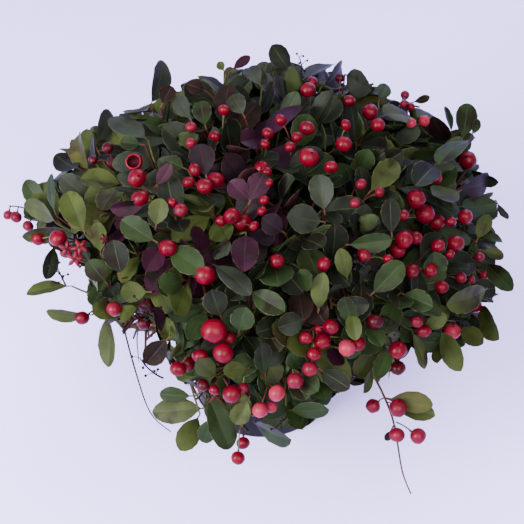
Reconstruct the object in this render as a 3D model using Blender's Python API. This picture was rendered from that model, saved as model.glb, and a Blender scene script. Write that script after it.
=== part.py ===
"""Potted wintergreen: a low evergreen shrub with red berries, in a plain nursery pot.

Sizes are in metres and +Z is up. The front of the plant faces -Y. The origin is the middle of
the pot's flat underside. Azimuths are in degrees, from the front round to the right (+X).

A short woody stem stands on the soil. Thin boughs leave it in rings, and each one ends at a
mass of foliage. The tips of all the shoots lie evenly over one low dome, and every mass takes
the tips that are nearest to it. A shoot runs from its mass's core to its tip, and carries
leaves in a spiral below the tip, with berries on short stalks between them. A mass keeps to the
space that is nearest to its own centre, so neighbouring masses never touch.
"""

import math
import random
from collections import namedtuple

import bmesh
import bpy
from mathutils import Matrix, Vector
from mathutils.bvhtree import BVHTree
from mathutils.geometry import interpolate_bezier
from mathutils.kdtree import KDTree

SEED = 11
SEAT_GAP = 0.0003

POT_HEIGHT = 0.102
POT_FOOT_RADIUS = 0.0415
POT_NECK_RADIUS = 0.0570
POT_LIP = 0.0025
POT_LIP_DEPTH = 0.013
POT_WALL = 0.0022
POT_FLOOR = 0.0026
POT_EDGE = 0.0012
POT_SIDES = 28
DRAIN_RADIUS = 0.004
DRAIN_RING = 0.026
DRAINS = 4

SOIL_TOP = POT_HEIGHT - 0.008
SOIL_SIDES = 24

STEM_HEIGHT = 0.026
STEM_TOP_RADIUS = 0.0078
STEM_FLARE = 0.0038
STEM_SIDES = 12

BOUGH_FOOT_RADIUS = 0.0018
BOUGH_TIP_RADIUS = 0.0014
BOUGH_LEAVE = 0.020
BOUGH_SIDES = 5
BOUGH_STEPS = 5

# The dome on which the shoots' tips lie. It is widest at DOME_WAIST, and its foot turns in
# below that, down to DOME_FOOT_ANGLE from the top. A mass's centre lies at MASS_DEPTH of the way
# out to the dome.
DOME_WAIST = 0.124
DOME_RADIUS = 0.128
DOME_RISE = 0.082
DOME_DROP = 0.054
DOME_FOOT_ANGLE = 124.0
TIPS = 122
GOLDEN_ANGLE = 137.508
MASS_DEPTH = 0.80

# The tips of the shoots point away from the spot at SHOOT_AIM_HEIGHT on the middle axis.
STALK_RADIUS = 0.0014
CORE_REACH = 0.014
CORE_RADIUS = 0.010
SHOOT_RADIUS = 0.0013
SHOOT_TIP_RADIUS = 0.0018
SHOOT_SAG = 0.003
SHOOT_AIM_HEIGHT = 0.084
PEDICEL_RADIUS = 0.0008

LEAVES_PER_SHOOT = 5
LEAF_TRIES = 14
LEAF_LENGTH = 0.041
LEAF_WIDTH = 0.0245
LEAF_THICKNESS = 0.0011
LEAF_DROOP = 0.0030
LEAF_SHOULDER_DROOP = 0.0015
LEAF_ROOT = 0.001
LEAF_STEP = 0.0032
LEAF_LEAN = 48.0
LEAF_LEAN_STEP = 9.0
BERRIES_PER_MASS = 3
BERRY_RADIUS = 0.0056
BERRY_REACH = 0.011
BERRY_RISE = 0.005
BERRY_HANG = 0.004

# How far shapes keep from each other. A mass that doesn't fuse into one body is planned again, with
# other throws of the dice.
SPACE_MARGIN = 0.0004
LEAF_CLEARANCE = 0.0060
TWIG_CLEARANCE = 0.0030
POT_CLEARANCE = 0.0035
GROUND_CLEARANCE = 0.010
MOST_ATTEMPTS = 12
MERGE_DISTANCE = 1.2e-6

# A ring of boughs. foot_rise is the height at which they leave the stem above the soil. bend and
# end are (radius, height) of the bough's last control point and of its end. place is where the
# middle of each mass lies on the dome, as its angle from the top.
Ring = namedtuple("Ring", "name count first foot_rise bend end place")
RINGS = (
    Ring("crown", 1, 0.0, None, (0.0, 0.150), (0.0, 0.162), 0.0),
    Ring("upper", 6, 30.0, 0.0215, (0.034, 0.150), (0.047, 0.164), 47.0),
    Ring("middle", 8, 0.0, 0.0150, (0.060, 0.134), (0.078, 0.137), 84.0),
    Ring("low", 8, 22.5, 0.0085, (0.066, 0.146), (0.082, 0.110), 114.0),
)

# Where the plant spreads further or less far than the dome: the azimuth and angle from the top
# at the middle of the place, the angle over which it fades, and the share that it adds.
Bulge = namedtuple("Bulge", "azimuth angle fade share")
BULGES = (
    Bulge(270.0, 112.0, 34.0, -0.12),
    Bulge(90.0, 118.0, 26.0, -0.08),
    Bulge(0.0, 118.0, 30.0, -0.05),
    Bulge(312.0, 108.0, 22.0, -0.08),
    Bulge(230.0, 60.0, 24.0, -0.08),
    Bulge(180.0, 38.0, 20.0, -0.03),
    Bulge(128.0, 64.0, 18.0, 0.04),
)

# Long shoots that hang out of a mass: (mass, points as azimuth, radius and height, berries and
# leaves as the share of the way along).
Runner = namedtuple("Runner", "mass route berries leaves")
RUNNERS = (
    Runner(
        "low_023",
        ((25, 0.118, 0.112), (28, 0.138, 0.116), (31, 0.147, 0.098), (34, 0.148, 0.040)),
        (0.40, 0.47, 0.56, 0.64),
        (0.30, 0.36),
    ),
    Runner("middle_270", ((271, 0.125, 0.130), (272, 0.152, 0.124)), (0.80, 0.99), ()),
)

Mass = namedtuple("Mass", "name ring azimuth path end_aim core centre tips")
Shoot = namedtuple("Shoot", "start bend tip aim")


def around(azimuth, radius, height):
    """The point at that azimuth, distance from the middle axis, and height."""
    angle = math.radians(azimuth)
    return Vector((radius * math.sin(angle), -radius * math.cos(angle), height))


def turned(direction, axis, degrees):
    """The direction turned about the axis."""
    return Matrix.Rotation(math.radians(degrees), 3, axis) @ direction


def side_of(axis):
    """A direction square to the axis, as level as it can be."""
    level = axis.cross(Vector((0.0, 0.0, 1.0)))
    return level.normalized() if level.length > 0.1 else Vector((1.0, 0.0, 0.0))


def dome(azimuth, angle, share=1.0):
    """A point on the dome, or at that share of the way out to it from its middle."""
    facing = around(azimuth, math.sin(math.radians(angle)), math.cos(math.radians(angle)))
    for bulge in BULGES:
        middle = around(
            bulge.azimuth, math.sin(math.radians(bulge.angle)), math.cos(math.radians(bulge.angle))
        )
        away = math.degrees(facing.angle(middle, 0.0))
        share *= 1.0 + bulge.share * math.exp(-((away / bulge.fade) ** 2))
    height = DOME_RISE if facing.z > 0 else DOME_DROP
    flat = Vector((facing.x, facing.y, 0.0)) * DOME_RADIUS * share
    return flat + Vector((0.0, 0.0, DOME_WAIST + facing.z * height * share))


def material(name, colour, roughness):
    """A plain Principled material."""
    made = bpy.data.materials.new(name)
    made.use_nodes = True
    shader = made.node_tree.nodes["Principled BSDF"]
    shader.inputs["Base Color"].default_value = (*colour, 1.0)
    shader.inputs["Roughness"].default_value = roughness
    made.diffuse_color = (*colour, 1.0)
    return made


def new_object(name, mesh_builder, *materials):
    """An object named name, whose mesh mesh_builder fills through a bmesh."""
    shape = bmesh.new()
    mesh_builder(shape)
    mesh = bpy.data.meshes.new(name)
    shape.to_mesh(mesh)
    shape.free()
    for each in materials:
        mesh.materials.append(each)
    made = bpy.data.objects.new(name, mesh)
    bpy.context.scene.collection.objects.link(made)
    return made


def apply_modifier(made, modifier):
    """Applies the modifier to its object's mesh."""
    with bpy.context.temp_override(object=made, active_object=made):
        bpy.ops.object.modifier_apply(modifier=modifier.name)


def smooth(made, degrees):
    """Shades the object smooth, but for edges sharper than that."""
    made.data.shade_smooth()
    made.data.set_sharp_from_angle(angle=math.radians(degrees))


def turn_profile(shape, profile, sides):
    """Turns a (radius, height) profile, listed up the outside and back down the inside."""
    rings = []
    for radius, height in profile:
        count = sides if radius else 1
        rings.append([
            shape.verts.new(around(360.0 * k / sides, radius, height)) for k in range(count)
        ])
    for lower, upper in zip(rings, rings[1:]):
        for k in range(sides):
            after = (k + 1) % sides
            corners = [lower[k % len(lower)], lower[after % len(lower)]]
            corners += [upper[after % len(upper)], upper[k % len(upper)]]
            shape.faces.new(list(dict.fromkeys(corners)))


def add_tube(shape, points, radii, sides, first_aim=None, last_aim=None):
    """Adds a closed tube along points. The aims fix which way its two ends face."""
    aims = []
    for k in range(len(points)):
        before, after = points[max(k - 1, 0)], points[min(k + 1, len(points) - 1)]
        aims.append((after - before).normalized())
    aims[0] = first_aim or aims[0]
    aims[-1] = last_aim or aims[-1]
    frame = aims[0].to_track_quat("Z", "X").to_matrix()
    rings = []
    for k, (point, radius, aim) in enumerate(zip(points, radii, aims)):
        if k:
            frame = aims[k - 1].rotation_difference(aim).to_matrix() @ frame
        ring = []
        for side in range(sides):
            angle = 2 * math.pi * side / sides
            offset = Vector((radius * math.cos(angle), radius * math.sin(angle), 0.0))
            ring.append(shape.verts.new(point + frame @ offset))
        rings.append(ring)
    for lower, upper in zip(rings, rings[1:]):
        for side in range(sides):
            after = (side + 1) % sides
            shape.faces.new((lower[side], lower[after], upper[after], upper[side]))
    shape.faces.new(list(reversed(rings[0])))
    shape.faces.new(rings[-1])


def pot_radius(height):
    """The outer radius of the pot's tapering wall at that height."""
    share = min(max(height / POT_HEIGHT, 0.0), 1.0)
    return POT_FOOT_RADIUS + share * (POT_NECK_RADIUS - POT_FOOT_RADIUS)


def build_pot(plastic):
    """A thin tapering pot with a stepped lip and drain holes in its flat floor."""
    lip_foot = POT_HEIGHT - POT_LIP_DEPTH

    def wall(shape):
        outer = [
            (0.0, 0.0),
            (POT_FOOT_RADIUS - POT_EDGE, 0.0),
            (POT_FOOT_RADIUS, POT_EDGE),
            (pot_radius(lip_foot - POT_EDGE), lip_foot - POT_EDGE),
            (pot_radius(lip_foot) + POT_LIP, lip_foot),
            (POT_NECK_RADIUS + POT_LIP, POT_HEIGHT),
        ]
        inner = [
            (POT_NECK_RADIUS - POT_WALL, POT_HEIGHT),
            (pot_radius(POT_FLOOR) - POT_WALL, POT_FLOOR),
            (0.0, POT_FLOOR),
        ]
        turn_profile(shape, outer + inner, POT_SIDES)

    def drains(shape):
        for k in range(DRAINS):
            middle = around(360.0 * (k + 0.5) / DRAINS, DRAIN_RING, 0.0)
            ends = [middle + Vector((0, 0, -POT_FLOOR)), middle + Vector((0, 0, 2 * POT_FLOOR))]
            add_tube(shape, ends, [DRAIN_RADIUS] * 2, 8)

    pot = new_object("pot", wall, plastic)
    cutter = new_object("drain_cutter", drains)
    cut = pot.modifiers.new("drains", "BOOLEAN")
    cut.operation = "DIFFERENCE"
    cut.object = cutter
    apply_modifier(pot, cut)
    bpy.data.objects.remove(cutter)
    smooth(pot, 35)


def build_soil(earth):
    """The filled inside of the pot, with a level top."""
    floor = POT_FLOOR + SEAT_GAP
    inset = POT_WALL + SEAT_GAP * 2
    profile = [
        (0.0, floor),
        (pot_radius(floor) - inset, floor),
        (pot_radius(SOIL_TOP) - inset, SOIL_TOP),
        (0.0, SOIL_TOP),
    ]
    new_object("soil", lambda shape: turn_profile(shape, profile, SOIL_SIDES), earth)


def stem_radius(rise):
    """The short stem's radius at a height above the soil, flared towards its foot."""
    share = min(max(rise / STEM_HEIGHT, 0.0), 1.0)
    return STEM_TOP_RADIUS + STEM_FLARE * (1.0 - share) ** 2.2


def build_stem(bark):
    """The short woody stem, from its flat foot on the soil to its flat top."""
    foot = SOIL_TOP + SEAT_GAP
    rises = [STEM_HEIGHT * k / 4 for k in range(5)]
    profile = [(0.0, foot)]
    profile += [(stem_radius(rise), foot + rise) for rise in rises]
    profile += [(0.0, foot + STEM_HEIGHT)]
    stem = new_object("stem", lambda shape: turn_profile(shape, profile, STEM_SIDES), bark)
    smooth(stem, 50)


def bough_path(ring, azimuth):
    """The bough's middle line, and which way its two ends face."""
    if ring.foot_rise is None:
        start = Vector((0.0, 0.0, SOIL_TOP + STEM_HEIGHT + 2 * SEAT_GAP))
        leave = Vector((0.0, 0.0, BOUGH_LEAVE * 0.6))
    else:
        radius = stem_radius(ring.foot_rise) + 1.5 * SEAT_GAP
        start = around(azimuth, radius, SOIL_TOP + ring.foot_rise)
        leave = around(azimuth, BOUGH_LEAVE, 0.0)
    bend = around(azimuth, *ring.bend)
    end = around(azimuth, *ring.end)
    path = interpolate_bezier(start, start + leave, bend, end, BOUGH_STEPS + 1)
    return path, leave.normalized(), (end - bend).normalized()


def plan_masses():
    """Where each mass has its bough, core, centre and tips."""
    masses = []
    for ring in RINGS:
        for k in range(ring.count):
            azimuth = ring.first + 360.0 * k / ring.count
            name = ring.name if ring.count == 1 else f"{ring.name}_{math.ceil(azimuth):03d}"
            path, _, end_aim = bough_path(ring, azimuth)
            core = path[-1] + end_aim * CORE_REACH
            centre = dome(azimuth, ring.place, MASS_DEPTH)
            masses.append(Mass(name, ring, azimuth, path, end_aim, core, centre, []))
    lowest = math.cos(math.radians(DOME_FOOT_ANGLE))
    for k in range(TIPS):
        angle = math.degrees(math.acos(1.0 - (k + 0.5) / TIPS * (1.0 - lowest)))
        tip = dome(GOLDEN_ANGLE * k, angle)
        nearest = min(masses, key=lambda mass: (mass.centre - tip).length)
        nearest.tips.append(tip)
    return masses


def bough_tree(masses):
    """A look-up of points along every bough, for keeping foliage off them."""
    points = []
    for mass in masses:
        for start, end in zip(mass.path, mass.path[1:]):
            steps = max(2, math.ceil((end - start).length / 0.002))
            points += [start.lerp(end, k / steps) for k in range(steps + 1)]
    tree = KDTree(len(points))
    for k, point in enumerate(points):
        tree.insert(point, k)
    tree.balance()
    return tree


def in_space(point, mass, masses, margin):
    """Whether the point is nearer to this mass than to any other, by the margin."""
    for other in masses:
        if other is mass:
            continue
        between = other.centre - mass.centre
        middle = (other.centre + mass.centre) / 2
        if (middle - point).dot(between.normalized()) < margin:
            return False
    return True


def off_the_pot(point):
    """Whether the point is clear of the pot, the soil and the ground."""
    if point.z < GROUND_CLEARANCE:
        return False
    beside = math.hypot(point.x, point.y) > POT_NECK_RADIUS + POT_LIP + POT_CLEARANCE
    return beside or point.z > POT_HEIGHT + POT_CLEARANCE


def leaf_corners(root, aim, up, size):
    """A leaf's outline of six points from its root, then the middle of its upper side."""
    across = up.cross(aim).normalized()
    up = aim.cross(across).normalized()
    length, width = LEAF_LENGTH * size, LEAF_WIDTH * size

    def at(along, side, rise):
        return root + aim * (length * along) + across * (width * side) + up * rise

    outline = [
        at(0.0, 0.0, 0.0),
        at(0.42, -0.42, 0.0),
        at(0.78, -0.42, -LEAF_SHOULDER_DROOP),
        at(1.0, 0.0, -LEAF_DROOP),
        at(0.78, 0.42, -LEAF_SHOULDER_DROOP),
        at(0.42, 0.42, 0.0),
    ]
    return outline, at(0.55, 0.0, LEAF_THICKNESS)


def leaf_samples(corners):
    """Points spread over a leaf, for testing where it lies."""
    outline, top = corners
    inner = [top.lerp(point, 0.55) for point in outline]
    edges = [a.lerp(b, 0.5) for a, b in zip(outline, outline[1:] + outline[:1])]
    return outline[1:] + [top] + inner[1:] + edges[1:-1]


def add_leaf(shape, corners):
    """Adds one leaf: six faces above, and four below that join its outline's points."""
    outline, top = corners
    rim = [shape.verts.new(point) for point in outline]
    above = shape.verts.new(top)
    for k in range(len(rim)):
        shape.faces.new((rim[k], rim[(k + 1) % len(rim)], above))
    for corners_below in ((5, 1, 0), (5, 4, 2, 1), (4, 3, 2)):
        shape.faces.new([rim[k] for k in corners_below])


def add_core(shape, place):
    """Adds the knot of old wood from which a mass's shoots spring."""
    pose = Matrix.Translation(place)
    bmesh.ops.create_icosphere(shape, subdivisions=1, radius=CORE_RADIUS, matrix=pose)


def add_berry(shape, foot, place):
    """Adds a round berry at place and the thin stalk that it hangs on, as one closed shape."""
    aim = (place - foot).normalized()
    points, radii = [foot], [PEDICEL_RADIUS]
    for angle in (167.0, 113.0, 55.0):
        points.append(place + aim * (BERRY_RADIUS * math.cos(math.radians(angle))))
        radii.append(BERRY_RADIUS * math.sin(math.radians(angle)))
    add_tube(shape, points, radii, 5, aim, aim)


def skin(builder):
    """The faces of a shape, as a tree that tells whether two shapes cross."""
    shape = bmesh.new()
    builder(shape)
    tree = BVHTree.FromBMesh(shape)
    shape.free()
    return tree


class Growth:
    """The twigs, leaves and berries of one mass, as they are found to fit."""

    def __init__(self, mass, masses, boughs):
        self.mass = mass
        self.masses = masses
        self.boughs = boughs
        self.twigs = []
        self.leaves = []
        self.berries = []
        self.skins = [skin(lambda shape: add_core(shape, mass.core))]

    def fits(self, points, bough_clearance, margin=SPACE_MARGIN):
        """Whether every point stays in the mass's space, and clear of the pot and boughs."""
        return all(
            in_space(point, self.mass, self.masses, margin)
            and off_the_pot(point)
            and self.boughs.find(point)[2] > bough_clearance
            for point in points
        )

    def try_shape(self, builder, carrier):
        """Whether the shape crosses nothing here but the twig that carries it."""
        new = skin(builder)
        if any(new.overlap(other) for other in self.skins if other is not carrier):
            return False
        self.skins.append(new)
        return True

    def add_twig(self, points, radii):
        """Adds a twig, and returns its skin for the shapes that it carries."""
        self.twigs.append((points, radii))
        self.skins.append(skin(lambda shape: add_tube(shape, points, radii, 3)))
        return self.skins[-1]

    def try_leaf(self, root, aim, up, size, carrier):
        corners = leaf_corners(root, aim, up, size)
        if not self.fits(leaf_samples(corners), LEAF_CLEARANCE):
            return False
        if not self.try_shape(lambda shape: add_leaf(shape, corners), carrier):
            return False
        self.leaves.append(corners)
        return True

    def try_berry(self, foot, place, carrier):
        clear = BERRY_RADIUS + BOUGH_FOOT_RADIUS + SPACE_MARGIN
        if not self.fits([place], clear, BERRY_RADIUS + SPACE_MARGIN):
            return False
        if not self.try_shape(lambda shape: add_berry(shape, foot, place), carrier):
            return False
        self.berries.append((foot, place))
        return True


def plan_shoots(mass):
    """The shoots of a mass: each bows a little under its own weight on its way to its tip."""
    shoots = []
    for tip in mass.tips:
        bend = mass.core.lerp(tip, 0.5) - Vector((0.0, 0.0, SHOOT_SAG))
        outward = tip - Vector((0.0, 0.0, SHOOT_AIM_HEIGHT))
        aim = ((tip - bend).normalized() + outward.normalized()).normalized()
        shoots.append(Shoot(mass.core, bend, tip, aim))
    return shoots


def leaf_spiral(growth, shoot, carrier, dice):
    """The leaves of one shoot: each is moved round, raised and shortened until it fits."""
    side = turned(side_of(shoot.aim), shoot.aim, dice.uniform(0, 360))
    back = (shoot.bend - shoot.tip).normalized()
    for k in range(LEAVES_PER_SHOOT):
        root = shoot.tip + back * (LEAF_ROOT + LEAF_STEP * k)
        size = dice.uniform(0.90, 1.12)
        lean = LEAF_LEAN + LEAF_LEAN_STEP * k + dice.uniform(-8, 8)
        swing = GOLDEN_ANGLE * k + dice.uniform(-12, 12)
        roll = dice.uniform(-22, 22)
        for attempt in range(LEAF_TRIES):
            shift = (-1) ** attempt * 24.0 * ((attempt + 1) // 2)
            outward = turned(side, shoot.aim, swing + shift)
            axis = shoot.aim.cross(outward).normalized()
            aim = turned(shoot.aim, axis, lean - 7.0 * (attempt % 3))
            up = turned(shoot.aim + Vector((0.0, 0.0, 0.4)), aim, roll)
            if growth.try_leaf(root, aim, up, size * (1.0 - 0.025 * attempt), carrier):
                break


def plan_runner(growth, runner, dice):
    """A long hanging shoot, with leaves and berries along it."""
    points = [growth.mass.core] + [around(*place) for place in runner.route]
    lengths = [(b - a).length for a, b in zip(points, points[1:])]

    def at(share):
        left = share * sum(lengths)
        for start, end, length in zip(points, points[1:], lengths):
            if left <= length:
                return start.lerp(end, left / length), (end - start).normalized()
            left -= length
        return points[-1], (points[-1] - points[-2]).normalized()

    radii = [SHOOT_RADIUS] * (len(points) - 1) + [SHOOT_RADIUS * 0.6]
    carrier = growth.add_twig(points, radii)
    for k, share in enumerate(runner.leaves):
        root, aim = at(share)
        leaf_aim = turned(aim, side_of(aim), 50 + 10 * k)
        growth.try_leaf(root, leaf_aim, around(growth.mass.azimuth, 1, 1), 1.0, carrier)
    for k, share in enumerate(runner.berries):
        root, aim = at(share)
        outward = turned(side_of(aim), aim, 180 * k + dice.uniform(-30, 30))
        place = root + outward * BERRY_REACH - Vector((0.0, 0.0, BERRY_HANG))
        growth.try_berry(root, place, carrier)


def plan_mass(mass, masses, boughs, attempt):
    """Every twig, leaf and berry of one mass."""
    dice = random.Random(f"{SEED} {mass.name} {attempt}")
    growth = Growth(mass, masses, boughs)
    for runner in RUNNERS:
        if runner.mass == mass.name:
            plan_runner(growth, runner, dice)
    carried = []
    for shoot in plan_shoots(mass):
        way = [shoot.bend.lerp(shoot.tip, share) for share in (0, 0.5, 1)]
        if growth.fits(way, TWIG_CLEARANCE, SPACE_MARGIN * 4):
            radii = [SHOOT_RADIUS, SHOOT_RADIUS, SHOOT_TIP_RADIUS]
            carrier = growth.add_twig([shoot.start, shoot.bend, shoot.tip], radii)
            carried.append((shoot, carrier))
    for shoot, carrier in carried[:BERRIES_PER_MASS]:
        foot = shoot.tip.lerp(shoot.bend, 0.12)
        for swing in range(0, 360, 45):
            outward = turned(side_of(shoot.aim), shoot.aim, swing + dice.uniform(0, 30))
            place = foot + outward * BERRY_REACH + shoot.aim * BERRY_RISE
            if growth.try_berry(foot, place, carrier):
                break
    for shoot, carrier in carried:
        leaf_spiral(growth, shoot, carrier, dice)
    return growth


def bodies_of(shape):
    """The faces of each separate body, smallest volume first."""
    bodies, seen = [], set()
    for first in shape.faces:
        if first in seen:
            continue
        body, front = [], [first]
        seen.add(first)
        while front:
            face = front.pop()
            body.append(face)
            for edge in face.edges:
                fresh = [other for other in edge.link_faces if other not in seen]
                seen.update(fresh)
                front += fresh
        bodies.append(body)

    def volume(body):
        total = 0.0
        for face in body:
            first, *others = [vertex.co for vertex in face.verts]
            for second, third in zip(others, others[1:]):
                total += first.dot(second.cross(third)) / 6
        return total

    return sorted(bodies, key=volume)


def tidy_mesh(mesh):
    """Keeps the largest body, and says whether it stays whole when near points are merged."""
    shape = bmesh.new()
    shape.from_mesh(mesh)
    for body in bodies_of(shape)[:-1]:
        bmesh.ops.delete(shape, geom=body, context="FACES")
    bmesh.ops.triangulate(shape, faces=shape.faces)
    shape.to_mesh(mesh)
    bmesh.ops.remove_doubles(shape, verts=shape.verts, dist=MERGE_DISTANCE)
    whole = all(len(edge.link_faces) == 2 for edge in shape.edges)
    whole = whole and len(bodies_of(shape)) == 1
    shape.free()
    return whole


def fuse(growth, colours):
    """Joins a mass's core, twigs, leaves and berries into one closed body."""
    pieces = bpy.data.collections.new("pieces")
    bpy.context.scene.collection.children.link(pieces)

    def add_piece(builder, colour):
        piece = new_object("piece", builder, colour)
        bpy.context.scene.collection.objects.unlink(piece)
        pieces.objects.link(piece)

    for points, radii in growth.twigs:
        add_piece(lambda shape: add_tube(shape, points, radii, 3), colours["twig"])
    for corners in growth.leaves:
        add_piece(lambda shape: add_leaf(shape, corners), colours["leaf"])
    for foot, place in growth.berries:
        add_piece(lambda shape: add_berry(shape, foot, place), colours["berry"])

    def core(shape):
        add_core(shape, growth.mass.core)

    name = f"leaves_{growth.mass.name}"
    body = new_object(name, core, colours["leaf"], colours["twig"], colours["berry"])
    join = body.modifiers.new("fuse", "BOOLEAN")
    join.operation = "UNION"
    join.operand_type = "COLLECTION"
    join.collection = pieces
    join.solver = "MANIFOLD"
    apply_modifier(body, join)
    for piece in list(pieces.objects):
        bpy.data.objects.remove(piece)
    bpy.data.collections.remove(pieces)
    return body


def build_mass(mass, masses, boughs, colours):
    """One mass of foliage, on a stalk that meets the end of its bough."""
    foot = mass.path[-1] + mass.end_aim * SEAT_GAP
    for attempt in range(MOST_ATTEMPTS):
        growth = plan_mass(mass, masses, boughs, attempt)
        growth.twigs.append(([foot, mass.core], [STALK_RADIUS] * 2))
        body = fuse(growth, colours)
        if tidy_mesh(body.data):
            return growth
        bpy.data.objects.remove(body)
    raise ValueError(f"{mass.name} never fused into one closed body")


def build_bough(mass, bark):
    """One bough: a tapering limb from beside the stem to its mass."""
    path, start_aim, end_aim = bough_path(mass.ring, mass.azimuth)
    last = len(path) - 1
    taper = BOUGH_FOOT_RADIUS - BOUGH_TIP_RADIUS
    radii = [BOUGH_FOOT_RADIUS - taper * k / last for k in range(len(path))]

    def limb(shape):
        add_tube(shape, path, radii, BOUGH_SIDES, start_aim, end_aim)

    smooth(new_object(f"bough_{mass.name}", limb, bark), 50)


def main():
    for leftover in list(bpy.data.objects):
        bpy.data.objects.remove(leftover)
    colours = {
        "leaf": material("leaf_green", (0.045, 0.075, 0.028), 0.45),
        "berry": material("berry_red", (0.55, 0.012, 0.035), 0.35),
        "twig": material("twig_brown", (0.110, 0.050, 0.035), 0.70),
    }
    bark = material("bark", (0.090, 0.055, 0.035), 0.85)
    build_pot(material("pot_plastic", (0.020, 0.020, 0.022), 0.55))
    build_soil(material("soil", (0.030, 0.020, 0.014), 0.95))
    build_stem(bark)
    masses = plan_masses()
    boughs = bough_tree(masses)
    leaves, berries = 0, 0
    for mass in masses:
        build_bough(mass, bark)
        growth = build_mass(mass, masses, boughs, colours)
        leaves += len(growth.leaves)
        berries += len(growth.berries)
    print(leaves, "leaves and", berries, "berries")


main()
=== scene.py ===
"""Potted wintergreen: the looks of the plant, its pot and its soil, with the light and the camera.

Sizes are in metres and +Z is up. The front of the plant faces -Y. Azimuths are in degrees, from
the front round to the right (+X).

The plant grows by the same rule as its solids. Boughs leave the short stem in rings, and each
one carries a mass of foliage. The tips of the limbs lie evenly over one low dome. Here every
limb also branches into finer shoots, whose leaves and berries have their real size. Those that
stand out in the photograph are laid on its lines of sight, and the others keep clear of them.
"""

import math
import random
from collections import namedtuple

import bpy
import numpy as np
from mathutils import Matrix, Vector, noise
from mathutils.bvhtree import BVHTree
from mathutils.geometry import interpolate_bezier
from mathutils.kdtree import KDTree


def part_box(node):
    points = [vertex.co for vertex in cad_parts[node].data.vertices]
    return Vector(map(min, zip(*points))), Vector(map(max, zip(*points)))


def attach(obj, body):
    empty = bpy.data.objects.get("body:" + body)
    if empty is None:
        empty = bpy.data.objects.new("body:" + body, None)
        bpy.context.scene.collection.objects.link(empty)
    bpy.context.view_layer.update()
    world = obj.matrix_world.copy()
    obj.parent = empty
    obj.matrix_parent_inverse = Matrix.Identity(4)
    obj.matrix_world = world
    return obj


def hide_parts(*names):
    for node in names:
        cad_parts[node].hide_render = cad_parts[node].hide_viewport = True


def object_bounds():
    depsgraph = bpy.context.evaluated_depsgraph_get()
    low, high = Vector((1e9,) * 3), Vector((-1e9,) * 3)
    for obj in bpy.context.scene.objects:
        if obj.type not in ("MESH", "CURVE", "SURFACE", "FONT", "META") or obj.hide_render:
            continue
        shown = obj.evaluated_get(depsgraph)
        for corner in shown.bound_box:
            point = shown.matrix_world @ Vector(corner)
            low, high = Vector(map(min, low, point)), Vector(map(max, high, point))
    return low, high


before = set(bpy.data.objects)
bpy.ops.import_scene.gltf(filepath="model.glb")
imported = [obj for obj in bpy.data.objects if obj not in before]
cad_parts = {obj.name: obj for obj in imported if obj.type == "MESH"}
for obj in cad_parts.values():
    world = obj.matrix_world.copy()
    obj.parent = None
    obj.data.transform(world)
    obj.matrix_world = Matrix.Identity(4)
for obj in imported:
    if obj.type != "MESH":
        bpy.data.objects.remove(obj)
cad_low, cad_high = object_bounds()

SEED = 7

# Sizes that the solids share.
POT_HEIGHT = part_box("pot")[1].z
POT_LIP_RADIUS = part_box("pot")[1].x
POT_FOOT_RADIUS = 0.0415
POT_LIP = 0.0025
POT_LIP_DEPTH = 0.013
POT_NECK_RADIUS = POT_LIP_RADIUS - POT_LIP
POT_WALL = 0.0022
POT_FLOOR = 0.0026
DRAIN_RADIUS = 0.004
DRAIN_RING = 0.026
DRAINS = 4
POT_EDGE = 0.0012
POT_BAND = 0.0024
POT_ROLL = 0.0013
POT_PIN = 0.0002
POT_WALL_RINGS = 9
POT_BANDS = (2.5, 1.5)
POT_BAND_SWELL = 0.3
COLLAR_EDGE = 0.0006
LIP_FILLET = (0.003, 0.006)
POT_SIDES = 112
CUTTER_PIN = 0.0001
CUTTER_HEIGHTS = (-0.002, 0.006)
CUTTER_SIDES = 24
SOIL_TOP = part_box("soil")[1].z
STEM_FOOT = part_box("stem")[0].z
STEM_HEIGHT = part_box("stem")[1].z - STEM_FOOT
STEM_TOP_RADIUS = 0.0078
STEM_FLARE = 0.0038
STEM_FLARE_POWER = 2.2
BOUGH_STEPS = 22
BOUGH_SEAT = 0.001
BOUGH_FOOT_RADIUS = 0.0018
BOUGH_TIP_RADIUS = 0.0014
BOUGH_LEAVE = 0.020
CROWN_LEAVE = 0.6
KNOT_RADII = (BOUGH_TIP_RADIUS, 0.0022, 0.0030, 0.0008)
DOME_WAIST = 0.124
DOME_RADIUS = 0.128
DOME_RISE = 0.082
DOME_DROP = 0.054
DOME_FOOT_ANGLE = 124.0
LIMB_TIPS = 122
GOLDEN_ANGLE = 137.508
MASS_DEPTH = 0.80
CORE_REACH = 0.014

# The outer skin of the foliage, as an ellipsoid about the dome's waist.
SKIN_RADIUS = 0.150
SKIN_RISE = 0.110
SKIN_DROP = 0.085

# Finer shoots: outer ones that reach a little past the limbs' tips, and three layers behind them.
# A layer has its number of shoots, how far down it goes, how far out, and how many leaves one has.
ShootLayer = namedtuple("ShootLayer", "shoots foot_angle share leaves fine")
SHOOT_LAYERS = (
    ShootLayer(345, 127.0, 1.06, (5, 6, 7), True),
    ShootLayer(170, 118.0, 0.84, (4, 5), False),
    ShootLayer(120, 112.0, 0.62, (4, 5), False),
    ShootLayer(60, 100.0, 0.42, (3, 4), False),
)
SHOOT_REACHES = (0.965, 1.035)
SHORTEST_REACH = 0.5
REACH_STEP = 0.03
LEAF_ALLOWANCE = 0.05
SHOOT_AIM_HEIGHT = 0.084
SHOOT_STARTS = (4, 5, 6)
SHOOT_STEPS = 7
SHOOT_RADII = [0.00085 - 0.0003 * k / 6 for k in range(SHOOT_STEPS)]
SHOOT_SIDES = 5
RED_SHOOTS = 0.6

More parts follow.
